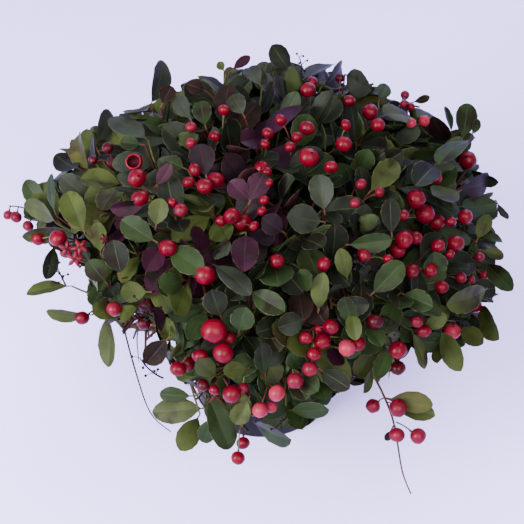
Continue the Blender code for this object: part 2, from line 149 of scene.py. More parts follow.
LEAF_LENGTH = 0.0285
LEAF_WIDTH_RATIO = 0.57
LEAF_THICKNESS = 0.00032
PETIOLE_LENGTH = 0.0032
PETIOLE_HALF_WIDTH = 0.00042
WIDTHS = (0.86, 1.14)
FOLDS = (3, 24)
CURL_SIDES = (-1, 1, 1, 1, 1)
CURLS = (8, 42)
TWISTS = (-22, 22)
CUPS = (-0.22, 0.16)
RIPPLES = (0.0, 0.028)

# How the leaves stand round a shoot, from its tip down, in metres, shares and degrees.
LEAF_TRIES = 16
FIRST_LEAF = 0.0006
LEAF_STEP = 0.0026
LEAF_SIZES = (0.84, 1.14)
TIP_LEAF_SIZE = 0.86
LEAN_FIRST = 34.0
LEAN_STEP = 10.0
LEAN_SPREAD = 14
SWING_SPREAD = 15
ROLL_SPREAD = 30
SAME_TINT = 0.78
TRY_SWING = 22.0
TRY_LEAN = 8.0
TRY_SHRINK = 0.02
LEAF_FACE_UP = 0.45

# Berries, their stalks, and the limbs and twigs.
BERRY_RADIUS = 0.0046
BERRY_SIGHT = 0.011
STALK_RADII = (0.00045, 0.0004, 0.0004, 0.00045, 0.0007)
LIMB_STEPS = 9
LIMB_RADII = np.linspace(0.0012, 0.0006, LIMB_STEPS)
TWIG_RADII = (0.0008, 0.00075, 0.0007, 0.00065, 0.0006, 0.00055, 0.0005)
LIMB_SAG = 0.003
SHOOT_SAG = 0.002
TWIG_START = 6
BERRY_NOD = 0.9
BERRY_AWAY = 0.5
BERRY_STRAY = 0.7
SPENT_STRAY = 0.25
BERRY_WIDTHS = (0.95, 1.04)
BERRY_HEIGHTS = (0.86, 0.98)
BERRY_SIZES = (0.84, 1.12)
BERRY_OVERLAP = 0.0003
STALK_BEND = 0.002
RACEME_DEPTH = 0.013
RACEME_RISES = (0.003, 0.002)
SPENT_DEPTH = 0.012

# What leaves keep clear of, and how far they look.
BOX_MARGIN_LOW = 0.001
BOX_MARGIN_HIGH = 0.0005
BOUGH_NEAR = 0.03
BOUGH_CLEARANCE = 0.0035
CROWD_REACH = 0.044
MOST_LEAVES = 6000
POT_CLEARANCE = 0.0025
OVERHANG = 0.008

Ring = namedtuple("Ring", "name count first foot_rise bend end place")
RINGS = (
    Ring("crown", 1, 0.0, None, (0.0, 0.150), (0.0, 0.162), 0.0),
    Ring("upper", 6, 30.0, 0.0215, (0.034, 0.150), (0.047, 0.164), 47.0),
    Ring("middle", 8, 0.0, 0.0150, (0.060, 0.134), (0.078, 0.137), 84.0),
    Ring("low", 8, 22.5, 0.0085, (0.066, 0.146), (0.082, 0.110), 114.0),
)

Bulge = namedtuple("Bulge", "azimuth angle fade share")
BULGES = (
    Bulge(270.0, 112.0, 34.0, -0.12),
    Bulge(90.0, 118.0, 26.0, -0.08),
    Bulge(0.0, 118.0, 30.0, -0.05),
    Bulge(312.0, 108.0, 22.0, -0.08),
    Bulge(230.0, 60.0, 24.0, -0.08),
    Bulge(180.0, 38.0, 20.0, -0.03),
    Bulge(128.0, 64.0, 18.0, 0.04),
)

# How much further in or out the finer shoots end than the limbs of the solids do.
FINE_BULGES = BULGES + (
    Bulge(298.0, 98.0, 26.0, -0.10),
    Bulge(322.0, 104.0, 20.0, -0.13),
    Bulge(46.0, 112.0, 26.0, -0.17),
    Bulge(20.0, 116.0, 16.0, -0.08),
    Bulge(180.0, 45.0, 46.0, -0.06),
    Bulge(82.0, 76.0, 26.0, -0.04),
)

# The front view: the camera, and what the photograph shows there. Places in it were read off,
# in its pixels, across and down from its upper left corner.
CAMERA_ELEVATION = 40.0
CAMERA_DISTANCE = 0.85
CAMERA_TARGET = Vector((0.0, 0.0, 0.112))
FRAME_HALF_WIDTH = 0.160
PICTURE_MIDDLE = 262
PIXEL = FRAME_HALF_WIDTH / PICTURE_MIDDLE
VIEW_RIGHT = Vector((1.0, 0.0, 0.0))
CAMERA_TILT = math.radians(CAMERA_ELEVATION)
VIEW_UP = Vector((0.0, math.sin(CAMERA_TILT), math.cos(CAMERA_TILT)))
VIEW_BACK = VIEW_RIGHT.cross(VIEW_UP)
VIEW_EYE = CAMERA_TARGET + VIEW_BACK * CAMERA_DISTANCE
SIGHT_REACH = 0.22
SIGHT_STEPS = 220
FOLIAGE_OUTLINE = (
    (22, 214), (30, 190), (62, 168), (58, 150), (90, 122), (148, 104), (166, 92), (192, 78), (244, 62),
    (282, 58), (346, 70), (410, 98), (448, 124), (466, 116), (476, 132), (480, 166), (500, 200),
    (497, 236), (510, 288), (484, 318), (484, 334), (454, 356), (408, 354), (386, 382), (340, 394),
    (316, 422), (280, 442), (240, 434), (224, 444), (185, 450), (156, 416), (206, 392), (166, 378),
    (160, 342), (138, 312), (112, 326), (94, 318), (86, 298), (88, 270), (58, 252), (38, 244),
)

Mass = namedtuple("Mass", "name ring azimuth path end_aim core centre tips")
Leaf = namedtuple("Leaf", "root aim up length width fold curl twist cup ripple phase tint fine")


def around(azimuth, radius, height):
    """The point at that azimuth, distance from the middle axis, and height."""
    angle = math.radians(azimuth)
    return Vector((radius * math.sin(angle), -radius * math.cos(angle), height))


def turned(direction, axis, degrees):
    """The direction turned about the axis."""
    return Matrix.Rotation(math.radians(degrees), 3, axis) @ direction


def side_of(axis):
    """A direction square to the axis, as level as it can be."""
    level = axis.cross(Vector((0.0, 0.0, 1.0)))
    return level.normalized() if level.length > 0.1 else Vector((1.0, 0.0, 0.0))


def azimuth_of(point):
    """The azimuth of a point, from 0 to 360."""
    return math.degrees(math.atan2(point.x, -point.y)) % 360


def way_out(azimuth, angle):
    """The direction at that azimuth and that angle from straight up."""
    return around(azimuth, math.sin(math.radians(angle)), math.cos(math.radians(angle)))


def bulged(azimuth, angle, bulges):
    """How far out the foliage reaches there, as a share of its plain shape."""
    share = 1.0
    for bulge in bulges:
        away = math.degrees(way_out(azimuth, angle).angle(way_out(bulge.azimuth, bulge.angle), 0.0))
        share *= 1.0 + bulge.share * math.exp(-((away / bulge.fade) ** 2))
    return share


def dome(azimuth, angle, share=1.0, bulges=BULGES):
    """A point on the dome, or at that share of the way out to it from its middle."""
    facing = way_out(azimuth, angle)
    share *= bulged(azimuth, angle, bulges)
    height = DOME_RISE if facing.z > 0 else DOME_DROP
    flat = Vector((facing.x, facing.y, 0.0)) * DOME_RADIUS * share
    return flat + Vector((0.0, 0.0, DOME_WAIST + facing.z * height * share))


def skin_point(azimuth, angle, depth):
    """A point that lies depth below the foliage's outer skin, and the way out from there."""
    sine, cosine = math.sin(math.radians(angle)), math.cos(math.radians(angle))
    height = SKIN_RISE if cosine > 0 else SKIN_DROP
    share = bulged(azimuth, angle, FINE_BULGES) * (1.0 - depth / SKIN_RADIUS)
    point = around(azimuth, SKIN_RADIUS * sine * share, DOME_WAIST + height * cosine * share)
    return point, around(azimuth, sine / SKIN_RADIUS, cosine / height).normalized()


def skin_share(point):
    """How far out a point lies, as a share of the way to the foliage's outer skin."""
    rise = point.z - DOME_WAIST
    facing = Vector((point.x, point.y, 0.0)) / SKIN_RADIUS
    facing.z = rise / (SKIN_RISE if rise > 0 else SKIN_DROP)
    angle = math.degrees(facing.angle(Vector((0.0, 0.0, 1.0)), 0.0))
    return facing.length / bulged(azimuth_of(point), angle, FINE_BULGES)


def way_out_at(point):
    """The way out of the foliage from a point in it."""
    rise = point.z - DOME_WAIST
    height = SKIN_RISE if rise > 0 else SKIN_DROP
    return Vector((point.x / SKIN_RADIUS**2, point.y / SKIN_RADIUS**2, rise / height**2)).normalized()


def sight_of(pixel):
    """The way from the eye to a place in the photograph."""
    across, down = ((each - PICTURE_MIDDLE) * PIXEL for each in pixel)
    return (CAMERA_TARGET + VIEW_RIGHT * across - VIEW_UP * down - VIEW_EYE).normalized()


def seen_point(pixel, depth):
    """What shows at a place in the photograph, that far below the foliage's outer skin.

    Past the skin's edge, it is the point of that line of sight that is nearest to the skin.
    """
    sight = sight_of(pixel)
    nearest, least = None, math.inf
    for step in range(SIGHT_STEPS):
        reach = CAMERA_DISTANCE - SIGHT_REACH + 2 * SIGHT_REACH * step / SIGHT_STEPS
        point = VIEW_EYE + sight * reach
        share = skin_share(point) / (1.0 - depth / SKIN_RADIUS)
        if share < least:
            nearest, least = point, share
        if share < 1.0:
            break
    return nearest


def seen_at_height(pixel, height):
    """What shows at a place in the photograph, if it is that high above the floor."""
    sight = sight_of(pixel)
    return VIEW_EYE + sight * (height - VIEW_EYE.z) / sight.z


def picture_places(points):
    """Where points show in the photograph."""
    apart = np.asarray(points, float).reshape(-1, 3) - np.array(VIEW_EYE)
    scale = CAMERA_DISTANCE / PIXEL / -(apart @ np.array(VIEW_BACK))
    across = apart @ np.array(VIEW_RIGHT) * scale
    down = -(apart @ np.array(VIEW_UP)) * scale
    return np.stack((across, down), axis=-1) + PICTURE_MIDDLE


def in_outline(points):
    """Which points show inside the foliage's outline in the photograph."""
    places, corners = picture_places(points), np.array(FOLIAGE_OUTLINE, float)
    after = np.roll(corners, -1, axis=0)
    x, y = places[:, :1], places[:, 1:]
    spans = (corners[:, 1] > y) != (after[:, 1] > y)
    drop = np.where(after[:, 1] == corners[:, 1], 1.0, after[:, 1] - corners[:, 1])
    beyond = x < corners[:, 0] + (y - corners[:, 1]) * (after[:, 0] - corners[:, 0]) / drop
    return (spans & beyond).sum(axis=1) % 2 == 1


def stem_radius(rise):
    """The short stem's radius at a height above the soil, flared towards its foot."""
    share = min(max(rise / STEM_HEIGHT, 0.0), 1.0)
    return STEM_TOP_RADIUS + STEM_FLARE * (1.0 - share) ** STEM_FLARE_POWER


def bough_path(ring, azimuth, steps):
    """The bough's middle line, and which way its outer end faces."""
    if ring.foot_rise is None:
        start = Vector((0.0, 0.0, SOIL_TOP + STEM_HEIGHT))
        leave = Vector((0.0, 0.0, BOUGH_LEAVE * CROWN_LEAVE))
    else:
        start = around(azimuth, stem_radius(ring.foot_rise) - BOUGH_SEAT, SOIL_TOP + ring.foot_rise)
        leave = around(azimuth, BOUGH_LEAVE, 0.0)
    bend = around(azimuth, *ring.bend)
    end = around(azimuth, *ring.end)
    return interpolate_bezier(start, start + leave, bend, end, steps), (end - bend).normalized()


def plan_masses():
    """Where each mass has its bough, core, centre and limb tips."""
    masses = []
    for ring in RINGS:
        for k in range(ring.count):
            azimuth = ring.first + 360.0 * k / ring.count
            name = ring.name if ring.count == 1 else f"{ring.name}_{math.ceil(azimuth):03d}"
            path, end_aim = bough_path(ring, azimuth, BOUGH_STEPS)
            core = path[-1] + end_aim * CORE_REACH
            centre = dome(azimuth, ring.place, MASS_DEPTH)
            masses.append(Mass(name, ring, azimuth, path, end_aim, core, centre, []))
    for tip in lattice(LIMB_TIPS, DOME_FOOT_ANGLE, 1.0):
        nearest_mass(masses, tip).tips.append(tip)
    return masses


def lattice(count, foot_angle, share, bulges=BULGES):
    """Points spread evenly over the dome, from its top down to foot_angle."""
    lowest = math.cos(math.radians(foot_angle))
    points = []
    for k in range(count):
        angle = math.degrees(math.acos(1.0 - (k + 0.5) / count * (1.0 - lowest)))
        points.append(dome(GOLDEN_ANGLE * k, angle, share, bulges))
    return points


def nearest_mass(masses, point):
    return min(masses, key=lambda mass: (mass.centre - point).length)


# Surfaces. Each is a Principled material whose colour varies a little and whose surface is uneven,
# both from noise. Constants are set on the shader's own sockets.
Finish = namedtuple("Finish", "colour roughness vary spots bump grain shine")
LEAF_FINISHES = {
    "deep": Finish((0.0044, 0.0058, 0.0034), 0.44, 0.40, 70, 0.30, 900, 0.040),
    # This bluish-grey tint paints the sky's sheen onto leaves at the top and back of the foliage.
    "bluish": Finish((0.0112, 0.0138, 0.0094), 0.46, 0.40, 70, 0.30, 900, 0.045),
    "green": Finish((0.0076, 0.0138, 0.0042), 0.44, 0.40, 70, 0.30, 900, 0.045),
    "olive": Finish((0.0185, 0.0240, 0.0060), 0.46, 0.35, 70, 0.30, 900, 0.045),
    "bright": Finish((0.0185, 0.0250, 0.0055), 0.46, 0.35, 70, 0.30, 900, 0.045),
    "yellow": Finish((0.0220, 0.0230, 0.0050), 0.48, 0.35, 90, 0.30, 900, 0.045),
    "plum": Finish((0.0115, 0.0024, 0.0066), 0.44, 0.40, 80, 0.30, 900, 0.045),
    "slate": Finish((0.0070, 0.0040, 0.0056), 0.46, 0.40, 80, 0.30, 900, 0.045),
    "wine": Finish((0.0205, 0.0080, 0.0120), 0.44, 0.35, 80, 0.30, 900, 0.045),
    "brown": Finish((0.0056, 0.0029, 0.0020), 0.56, 0.45, 120, 0.40, 700, 0.035),
}
# Reddish and dark patches on the blades.
BLOTCHES = {
    "deep": (0.0042, 0.0024, 0.0018),
    "bluish": (0.0050, 0.0040, 0.0030),
    "green": (0.0056, 0.0044, 0.0024),
    "olive": (0.0080, 0.0062, 0.0026),
    "bright": (0.0110, 0.0080, 0.0030),
    "yellow": (0.0140, 0.0080, 0.0040),
    "plum": (0.0034, 0.0030, 0.0022),
    "slate": (0.0070, 0.0024, 0.0035),
    "wine": (0.0080, 0.0020, 0.0035),
    "brown": (0.0034, 0.0022, 0.0018),
}
BLOTCH_SIZE = 64
BLOTCH_EDGES = (0.54, 0.66)
SHADE_EDGES = (0.30, 0.70)
SHADE_DETAIL = 4.0
BLOTCH_DETAIL = 5.0
RELIEF_DETAIL = 3.0
RELIEF_DEPTH = 0.0004
SMALL_FINISHES = {
    # The pale margin is a painted highlight: the light caught along the leaf's edge.
    "margin_painted_highlight": Finish((0.0260, 0.0290, 0.0120), 0.50, 0.30, 200, 0.10, 900, 0.060),
    "margin_red": Finish((0.0200, 0.0060, 0.0060), 0.50, 0.30, 200, 0.10, 900, 0.080),
    "rib_pale": Finish((0.0110, 0.0170, 0.0050), 0.45, 0.30, 200, 0.10, 900, 0.080),
    "rib_red": Finish((0.0130, 0.0040, 0.0050), 0.45, 0.30, 200, 0.10, 900, 0.080),
    "petiole": Finish((0.0300, 0.0130, 0.0065), 0.50, 0.30, 200, 0.10, 900, 0.080),
    "under_green": Finish((0.0150, 0.0205, 0.0072), 0.60, 0.25, 120, 0.20, 700, 0.050),
    "under_olive": Finish((0.0210, 0.0255, 0.0082), 0.60, 0.25, 120, 0.20, 700, 0.050),
    "under_plum": Finish((0.0170, 0.0060, 0.0065), 0.60, 0.25, 120, 0.20, 700, 0.050),
}
BERRY_FINISHES = {
    "red": Finish((0.0530, 0.0002, 0.0038), 0.32, 0.25, 160, 0.10, 1500, 0.090),
    "scarlet": Finish((0.0620, 0.0002, 0.0043), 0.32, 0.25, 160, 0.10, 1500, 0.090),
    "rose": Finish((0.0650, 0.0020, 0.0080), 0.34, 0.25, 160, 0.10, 1500, 0.090),
    "crimson": Finish((0.0230, 0.0002, 0.0020), 0.34, 0.28, 160, 0.10, 1500, 0.090),
    "pink": Finish((0.1350, 0.0080, 0.0190), 0.36, 0.28, 140, 0.10, 1500, 0.090),
    "pit": Finish((0.0200, 0.0015, 0.0030), 0.55, 0.30, 300, 0.30, 1500, 0.050),
}
WOOD_FINISHES = {
    "shoot_red": Finish((0.0300, 0.0085, 0.0055), 0.55, 0.35, 300, 0.30, 1200, 0.080),
    "shoot_green": Finish((0.0330, 0.0370, 0.0120), 0.52, 0.30, 300, 0.20, 1200, 0.080),
    "twig_brown": Finish((0.0160, 0.0090, 0.0060), 0.75, 0.45, 300, 0.50, 1000, 0.060),
    "dry_black": Finish((0.0050, 0.0032, 0.0036), 0.75, 0.40, 300, 0.40, 1200, 0.060),
    "bark": Finish((0.0300, 0.0180, 0.0120), 0.85, 0.55, 260, 0.80, 800, 0.060),
}
POT_FINISH = Finish((0.0030, 0.0030, 0.0033), 0.45, 0.25, 60, 0.10, 2500, 0.060)
SOIL_FINISHES = {
    "peat": Finish((0.0100, 0.0062, 0.0042), 0.95, 0.60, 300, 0.90, 1400, 0.040),
    "perlite": Finish((0.3200, 0.3100, 0.2900), 0.90, 0.15, 500, 0.60, 1800, 0.040),
}
FLOOR_FINISH = Finish((0.580, 0.515, 1.000), 0.85, 0.02, 9, 0.05, 60, 0.05)

# Which finishes each tint of leaf has on its blade, margin, rib, petiole and underside.
GREEN_DRESS = ("margin_painted_highlight", "rib_pale", "petiole", "under_green")
OLIVE_DRESS = ("margin_painted_highlight", "rib_pale", "petiole", "under_olive")
PLUM_DRESS = ("margin_red", "rib_red", "petiole", "under_plum")
LEAF_DRESS = {tint: (tint, *GREEN_DRESS) for tint in ("deep", "bluish", "green")}
LEAF_DRESS.update({tint: (tint, *OLIVE_DRESS) for tint in ("olive", "bright", "yellow")})
LEAF_DRESS.update({tint: (tint, *PLUM_DRESS) for tint in ("plum", "slate", "wine", "brown")})

# The colour sockets of a mix node, which share their names with its other kinds.
MIX_SHARE, MIX_FIRST, MIX_SECOND, MIX_RESULT = 0, 6, 7, 2


def surface(name, finish, blotch=None):
    """A Principled material with noise in its colour and its relief, and patches of the blotch."""
    made = bpy.data.materials.new(name)
    made.use_nodes = True
    nodes, links = made.node_tree.nodes, made.node_tree.links
    shader = nodes["Principled BSDF"]
    shader.inputs["Roughness"].default_value = finish.roughness
    shader.inputs["Specular IOR Level"].default_value = finish.shine
    place = nodes.new("ShaderNodeTexCoord")

    def noise_of(scale, detail):
        texture = nodes.new("ShaderNodeTexNoise")
        texture.inputs["Scale"].default_value = scale
        texture.inputs["Detail"].default_value = detail
        links.new(place.outputs["Object"], texture.inputs["Vector"])
        return texture

    shades = nodes.new("ShaderNodeValToRGB")
    for element, edge, side in zip(shades.color_ramp.elements, SHADE_EDGES, (-1, 1)):
        element.position = edge
        element.color = (*[min(c * (1 + side * finish.vary), 1.0) for c in finish.colour], 1.0)
    links.new(noise_of(finish.spots, SHADE_DETAIL).outputs["Fac"], shades.inputs["Fac"])
    colour = shades.outputs["Color"]
    if blotch:
        edges = nodes.new("ShaderNodeMapRange")
        edges.inputs["From Min"].default_value, edges.inputs["From Max"].default_value = BLOTCH_EDGES
        links.new(noise_of(BLOTCH_SIZE, BLOTCH_DETAIL).outputs["Fac"], edges.inputs["Value"])
        mix = nodes.new("ShaderNodeMix")
        mix.data_type = "RGBA"
        links.new(edges.outputs["Result"], mix.inputs[MIX_SHARE])
        links.new(colour, mix.inputs[MIX_FIRST])
        mix.inputs[MIX_SECOND].default_value = (*blotch, 1.0)
        colour = mix.outputs[MIX_RESULT]
    links.new(colour, shader.inputs["Base Color"])
    relief = nodes.new("ShaderNodeBump")
    relief.inputs["Strength"].default_value = finish.bump
    relief.inputs["Distance"].default_value = RELIEF_DEPTH
    links.new(noise_of(finish.grain, RELIEF_DETAIL).outputs["Fac"], relief.inputs["Height"])
    links.new(relief.outputs["Normal"], shader.inputs["Normal"])
    made.diffuse_color = (*finish.colour, 1.0)
    return made


def surfaces(finishes):
    return {name: surface(name, finish, BLOTCHES.get(name)) for name, finish in finishes.items()}


class Heap:
    """Many small shapes of four-cornered faces, gathered into one mesh."""

    def __init__(self, name, materials):
        self.name = name
        self.materials = list(materials.values())
        self.slots = {material: slot for slot, material in enumerate(materials)}
        self.points, self.faces, self.looks, self.count = [], [], [], 0

    def add(self, points, faces, looks):
        """Adds one shape; looks is one material's name, or one slot number for each face."""
        points = np.asarray(points, float).reshape(-1, 3)
        if isinstance(looks, str):
            looks = np.full(len(faces), self.slots[looks])
        self.points.append(points)
        self.faces.append(np.asarray(faces) + self.count)
        self.looks.append(looks)
        self.count += len(points)

    def finish(self):
        """The joined object, shaded smooth."""
        points, faces = np.vstack(self.points), np.vstack(self.faces)
        mesh = bpy.data.meshes.new(self.name)
        mesh.from_pydata(points.tolist(), [], faces.tolist())
        for each in self.materials:
            mesh.materials.append(each)
        mesh.polygons.foreach_set("material_index", np.concatenate(self.looks).astype(np.int32))
        mesh.shade_smooth()
        mesh.update()
        made = bpy.data.objects.new(self.name, mesh)
        bpy.context.scene.collection.objects.link(made)
        return made


def grid_faces(rows, columns, closed=False):
    """The faces of a grid of points; closed joins its last column to its first."""
    faces = []
    for row in range(rows - 1):
        for column in range(columns if closed else columns - 1):
            after = (column + 1) % columns
            lower, upper = row * columns, (row + 1) * columns
            faces.append((lower + column, lower + after, upper + after, upper + column))
    return np.array(faces)


def tube(path, radii, sides):
    """The points and faces of a round tube along a path."""
    path = [Vector(point) for point in path]
    points, frame_here, aim_before = [], None, None
    for k, (point, radius) in enumerate(zip(path, radii)):
        aim = (path[min(k + 1, len(path) - 1)] - path[max(k - 1, 0)]).normalized()
        if frame_here is None:
            frame_here = aim.to_track_quat("Z", "X").to_matrix()
        else:
            frame_here = aim_before.rotation_difference(aim).to_matrix() @ frame_here
        aim_before = aim
        for side in range(sides):
            angle = 2 * math.pi * side / sides
            spoke = Vector((math.cos(angle), math.sin(angle), 0.0))
            points.append(point + frame_here @ (spoke * radius))
    return np.array(points), grid_faces(len(path), sides, closed=True)


# Leaves. A leaf's grid has rows from its root to its tip and columns from edge to edge. Rows
# before 0 are its stalk. Columns next to the middle bound the rib, and those next to the edges
# the margin.
BLADE, MARGIN, RIB, PETIOLE, UNDER = range(5)
FINE_STEPS = 12
PLAIN_STEPS = 7
RIB_EDGE = 0.01
MARGIN_START = 0.95
TOOTHED = 0.99
BLADE_BASE = 0.80
BLADE_TIP = 0.62
TOOTH = 0.022
VEIN_SLANT = 0.08
VEIN_RELIEF = 0.00013
FOLD_ROUND = 0.0011
RIB_DEPTH = 0.00022
RIB_REACH = 0.0006
WAVES = 5
WAVE_LAG = 1.7


def blade_rows(steps):
    """Rows along a leaf, closer together towards its round tip."""
    way = np.linspace(0.0, 1.0, steps)
    return np.concatenate([(-1.0, -0.5), np.sin(np.pi / 2 * way)])


FINE_GRID = (
    blade_rows(FINE_STEPS),
    np.array((-1.0, -0.95, -0.62, -0.28, -0.04, 0.04, 0.28, 0.62, 0.95, 1.0)),
    np.array((-0.5, 0.0, 0.5)),
)
PLAIN_GRID = (
    blade_rows(PLAIN_STEPS),
    np.array((-1.0, -0.5, 0.0, 0.5, 1.0)),
    np.array((0.0,)),
)
TEST_ROWS = np.array((0.06, 0.25, 0.45, 0.65, 0.84, 1.0))
TEST_COLUMNS = np.array((-0.95, -0.5, 0.0, 0.5, 0.95))
TEST_FACES = grid_faces(len(TEST_ROWS), len(TEST_COLUMNS)).tolist()


def blade_width(share):
    """A blade's half width along it, as a share of its widest: a tapering base and a round tip."""
    share = np.clip(share, 0.0, 1.0)
    widest = BLADE_BASE / (BLADE_BASE + BLADE_TIP)
    return (share / widest) ** BLADE_BASE * ((1.0 - share) / (1.0 - widest)) ** BLADE_TIP


def leaf_surface(leaf, rows, columns, depth=0.0):
    """Points of a leaf's upper side, or of a layer at that depth below it."""
    along, across = rows[:, None], columns[None, :]
    edge, blade = np.abs(across), np.clip(along, 0.0, 1.0)
    forward = blade + VEIN_SLANT * np.sin(np.pi * blade) * edge
    half = np.maximum(PETIOLE_HALF_WIDTH, leaf.width / 2 * blade_width(forward))
    ridges = (-1.0) ** np.arange(len(rows))[:, None] * (len(rows) > len(PLAIN_GRID[0]))
    side = across * half * (1.0 + TOOTH * ridges * (edge > TOOTHED) * (along > 0))
    way = PETIOLE_LENGTH * (1 + np.minimum(along, 0.0)) + (leaf.length - PETIOLE_LENGTH) * forward
    rise = math.tan(leaf.fold) * (np.sqrt(side**2 + FOLD_ROUND**2) - FOLD_ROUND)
    rise = rise + leaf.cup * side**2 / (leaf.width / 2)
    rise = rise - RIB_DEPTH * np.exp(-((side / RIB_REACH) ** 2)) * (along > 0)
    rise = rise + VEIN_RELIEF * ridges * 4 * edge * (1 - edge) * np.sin(np.pi * blade)
    waves = np.sin(WAVES * np.pi * blade + leaf.phase + WAVE_LAG * (across < 0))
    rise = rise + leaf.ripple * leaf.width * waves * edge**3 * np.sin(np.pi * blade)
    rise = rise - depth * np.sqrt(1 - np.minimum(edge, 1.0) ** 2)
    turn = leaf.twist * blade
    side, rise = side * np.cos(turn) - rise * np.sin(turn), side * np.sin(turn) + rise * np.cos(turn)
    bend = leaf.curl / leaf.length
    angle = bend * way
    ahead = np.sin(angle) / bend + rise * np.sin(angle)
    height = (np.cos(angle) - 1) / bend + rise * np.cos(angle)
    aim = leaf.aim.normalized()
    sideways = leaf.up.cross(aim).normalized()
    up = aim.cross(sideways)
    basis = np.array((aim, sideways, up))
    return np.array(leaf.root) + np.stack((ahead, side + 0 * ahead, height), axis=-1) @ basis


def leaf_template(rows, columns, under):
    """The faces of a leaf and their kinds: an upper side, and a plainer one below it."""
    count, width, inner = len(rows), len(columns), len(under)
    faces, kinds = [], []
    for row in range(count - 1):
        on_stalk = rows[row + 1] <= 0
        for column in range(width - 1):
            here, there = row * width + column, (row + 1) * width + column
            faces.append((here, there, there + 1, here + 1))
            middle = (columns[column] + columns[column + 1]) / 2
            kind = RIB if abs(middle) < RIB_EDGE else MARGIN if abs(middle) > MARGIN_START else BLADE
            kinds.append(PETIOLE if on_stalk else kind)

        def below(r):
            first = count * width + r * inner
            return [r * width, *range(first, first + inner), r * width + width - 1]

        for a, b, c, d in zip(below(row), below(row)[1:], below(row + 1)[1:], below(row + 1)):
            faces.append((a, b, c, d))
            kinds.append(PETIOLE if on_stalk else UNDER)
    return np.array(faces), np.array(kinds)


FINE_TEMPLATE = leaf_template(*FINE_GRID)
PLAIN_TEMPLATE = leaf_template(*PLAIN_GRID)


def add_leaf(heap, leaf):
    """Adds the leaf's two sides to the heap, in its tint's finishes."""
    rows, columns, under = FINE_GRID if leaf.fine else PLAIN_GRID
    faces, kinds = FINE_TEMPLATE if leaf.fine else PLAIN_TEMPLATE
    top = leaf_surface(leaf, rows, columns)
    below = leaf_surface(leaf, rows, under, LEAF_THICKNESS)
    dress = np.array([heap.slots[look] for look in LEAF_DRESS[leaf.tint]])
    heap.add(np.vstack((top.reshape(-1, 3), below.reshape(-1, 3))), faces, dress[kinds])


def new_leaf(root, aim, up, dice, tint, size=1.0, fine=True):
    """A leaf with its own small turns, folds and waves."""
    length = LEAF_LENGTH * size
    return Leaf(
        root=Vector(root),
        aim=Vector(aim),
        up=Vector(up),
        length=length,
        width=length * LEAF_WIDTH_RATIO * dice.uniform(*WIDTHS),
        fold=math.radians(dice.uniform(*FOLDS)),
        curl=math.radians(dice.choice(CURL_SIDES) * dice.uniform(*CURLS)),
        twist=math.radians(dice.uniform(*TWISTS)),
        cup=dice.uniform(*CUPS),
        ripple=dice.uniform(*RIPPLES),
        phase=dice.uniform(0, 6.28),
        tint=tint,
        fine=fine,
    )


# Berries. A profile lists (angle from the calyx end, distance from the middle, how far the five
# lobes swell it, how far the five-pointed star reaches) from the stalk to the calyx end.
BERRY_SIDES = 20
BERRY_PROFILE = (
    (174, 0.97, 0, 0), (152, 0.99, 0, 0), (128, 1.0, 0.01, 0), (104, 1.0, 0.025, 0),
    (80, 1.0, 0.035, 0), (56, 1.0, 0.035, 0), (36, 0.995, 0.02, 0.10), (22, 0.97, 0, 0.28),
    (15, 0.90, 0, 0.38), (9, 0.86, 0, 0.30), (3, 0.84, 0, 0),
)
OPEN_PROFILE = (
    (174, 0.97, 0, 0), (145, 1.0, 0, 0), (115, 1.02, 0.01, 0), (88, 1.03, 0.02, 0),
    (66, 1.02, 0.02, 0), (55, 0.96, 0, 0), (58, 0.84, 0, 0), (80, 0.76, 0, 0),
    (115, 0.72, 0, 0), (150, 0.70, 0, 0), (172, 0.70, 0, 0),
)
STAR_PROFILE = (
    (174, 0.55, 0, 0), (142, 0.66, 0.05, 0), (114, 0.86, 0.22, 0), (97, 1.12, 0.42, 0),
    (88, 1.20, 0.48, 0), (78, 1.06, 0.42, 0), (62, 0.74, 0.20, 0), (44, 0.50, 0.05, 0),
    (30, 0.40, 0, 0), (16, 0.36, 0, 0), (4, 0.34, 0, 0),
)
PIT_RINGS = 4


def berry_template(profile):
    """A berry of radius 1 with its calyx end at +Z, and which faces line its pit."""
    points = []
    for angle, distance, swell, star in profile:
        for side in range(BERRY_SIDES):
            turn = 2 * math.pi * side / BERRY_SIDES
            lobes = math.cos(5 * turn)
            tilt = math.radians(angle * (1 + star * lobes))
            reach = distance * (1 + swell * lobes)
            flat = reach * math.sin(tilt)
            points.append((flat * math.cos(turn), flat * math.sin(turn), reach * math.cos(tilt)))
    faces = grid_faces(len(profile), BERRY_SIDES, closed=True)
    in_pit = np.arange(len(faces)) >= (len(profile) - PIT_RINGS) * BERRY_SIDES
    return np.array(points), faces, in_pit


BERRY_SHAPES = {
    "round": berry_template(BERRY_PROFILE),
    "open": berry_template(OPEN_PROFILE),
    "star": berry_template(STAR_PROFILE),
}

Berry = namedtuple("Berry", "place radius outward stalk tint shape")


def dice_way(dice):
    """A direction of no particular kind."""
    return Vector([dice.gauss(0, 1) for _ in range(3)]).normalized()


def add_berry(heap, berry, dice):
    """A berry with its calyx end turned outwards, and away from its stalk and down if it is round."""
    points, faces, in_pit = BERRY_SHAPES[berry.shape]
    if berry.shape == "round":
        away = (berry.place - berry.stalk).normalized()
        aim = away * BERRY_AWAY - Vector((0.0, 0.0, BERRY_NOD)) + dice_way(dice) * BERRY_STRAY
    else:
        aim = berry.outward + dice_way(dice) * SPENT_STRAY
    pose = aim.to_track_quat("Z", "X").to_matrix() @ Matrix.Rotation(dice.uniform(0, 6), 3, "Z")
    spreads = (BERRY_WIDTHS, BERRY_WIDTHS, BERRY_HEIGHTS)
    sizes = np.array([dice.uniform(*spread) for spread in spreads])
    placed = np.array(berry.place) + (points * sizes * berry.radius) @ np.array(pose).T
    looks = np.where(in_pit, heap.slots["pit"], heap.slots[berry.tint])
    heap.add(placed, faces, looks)


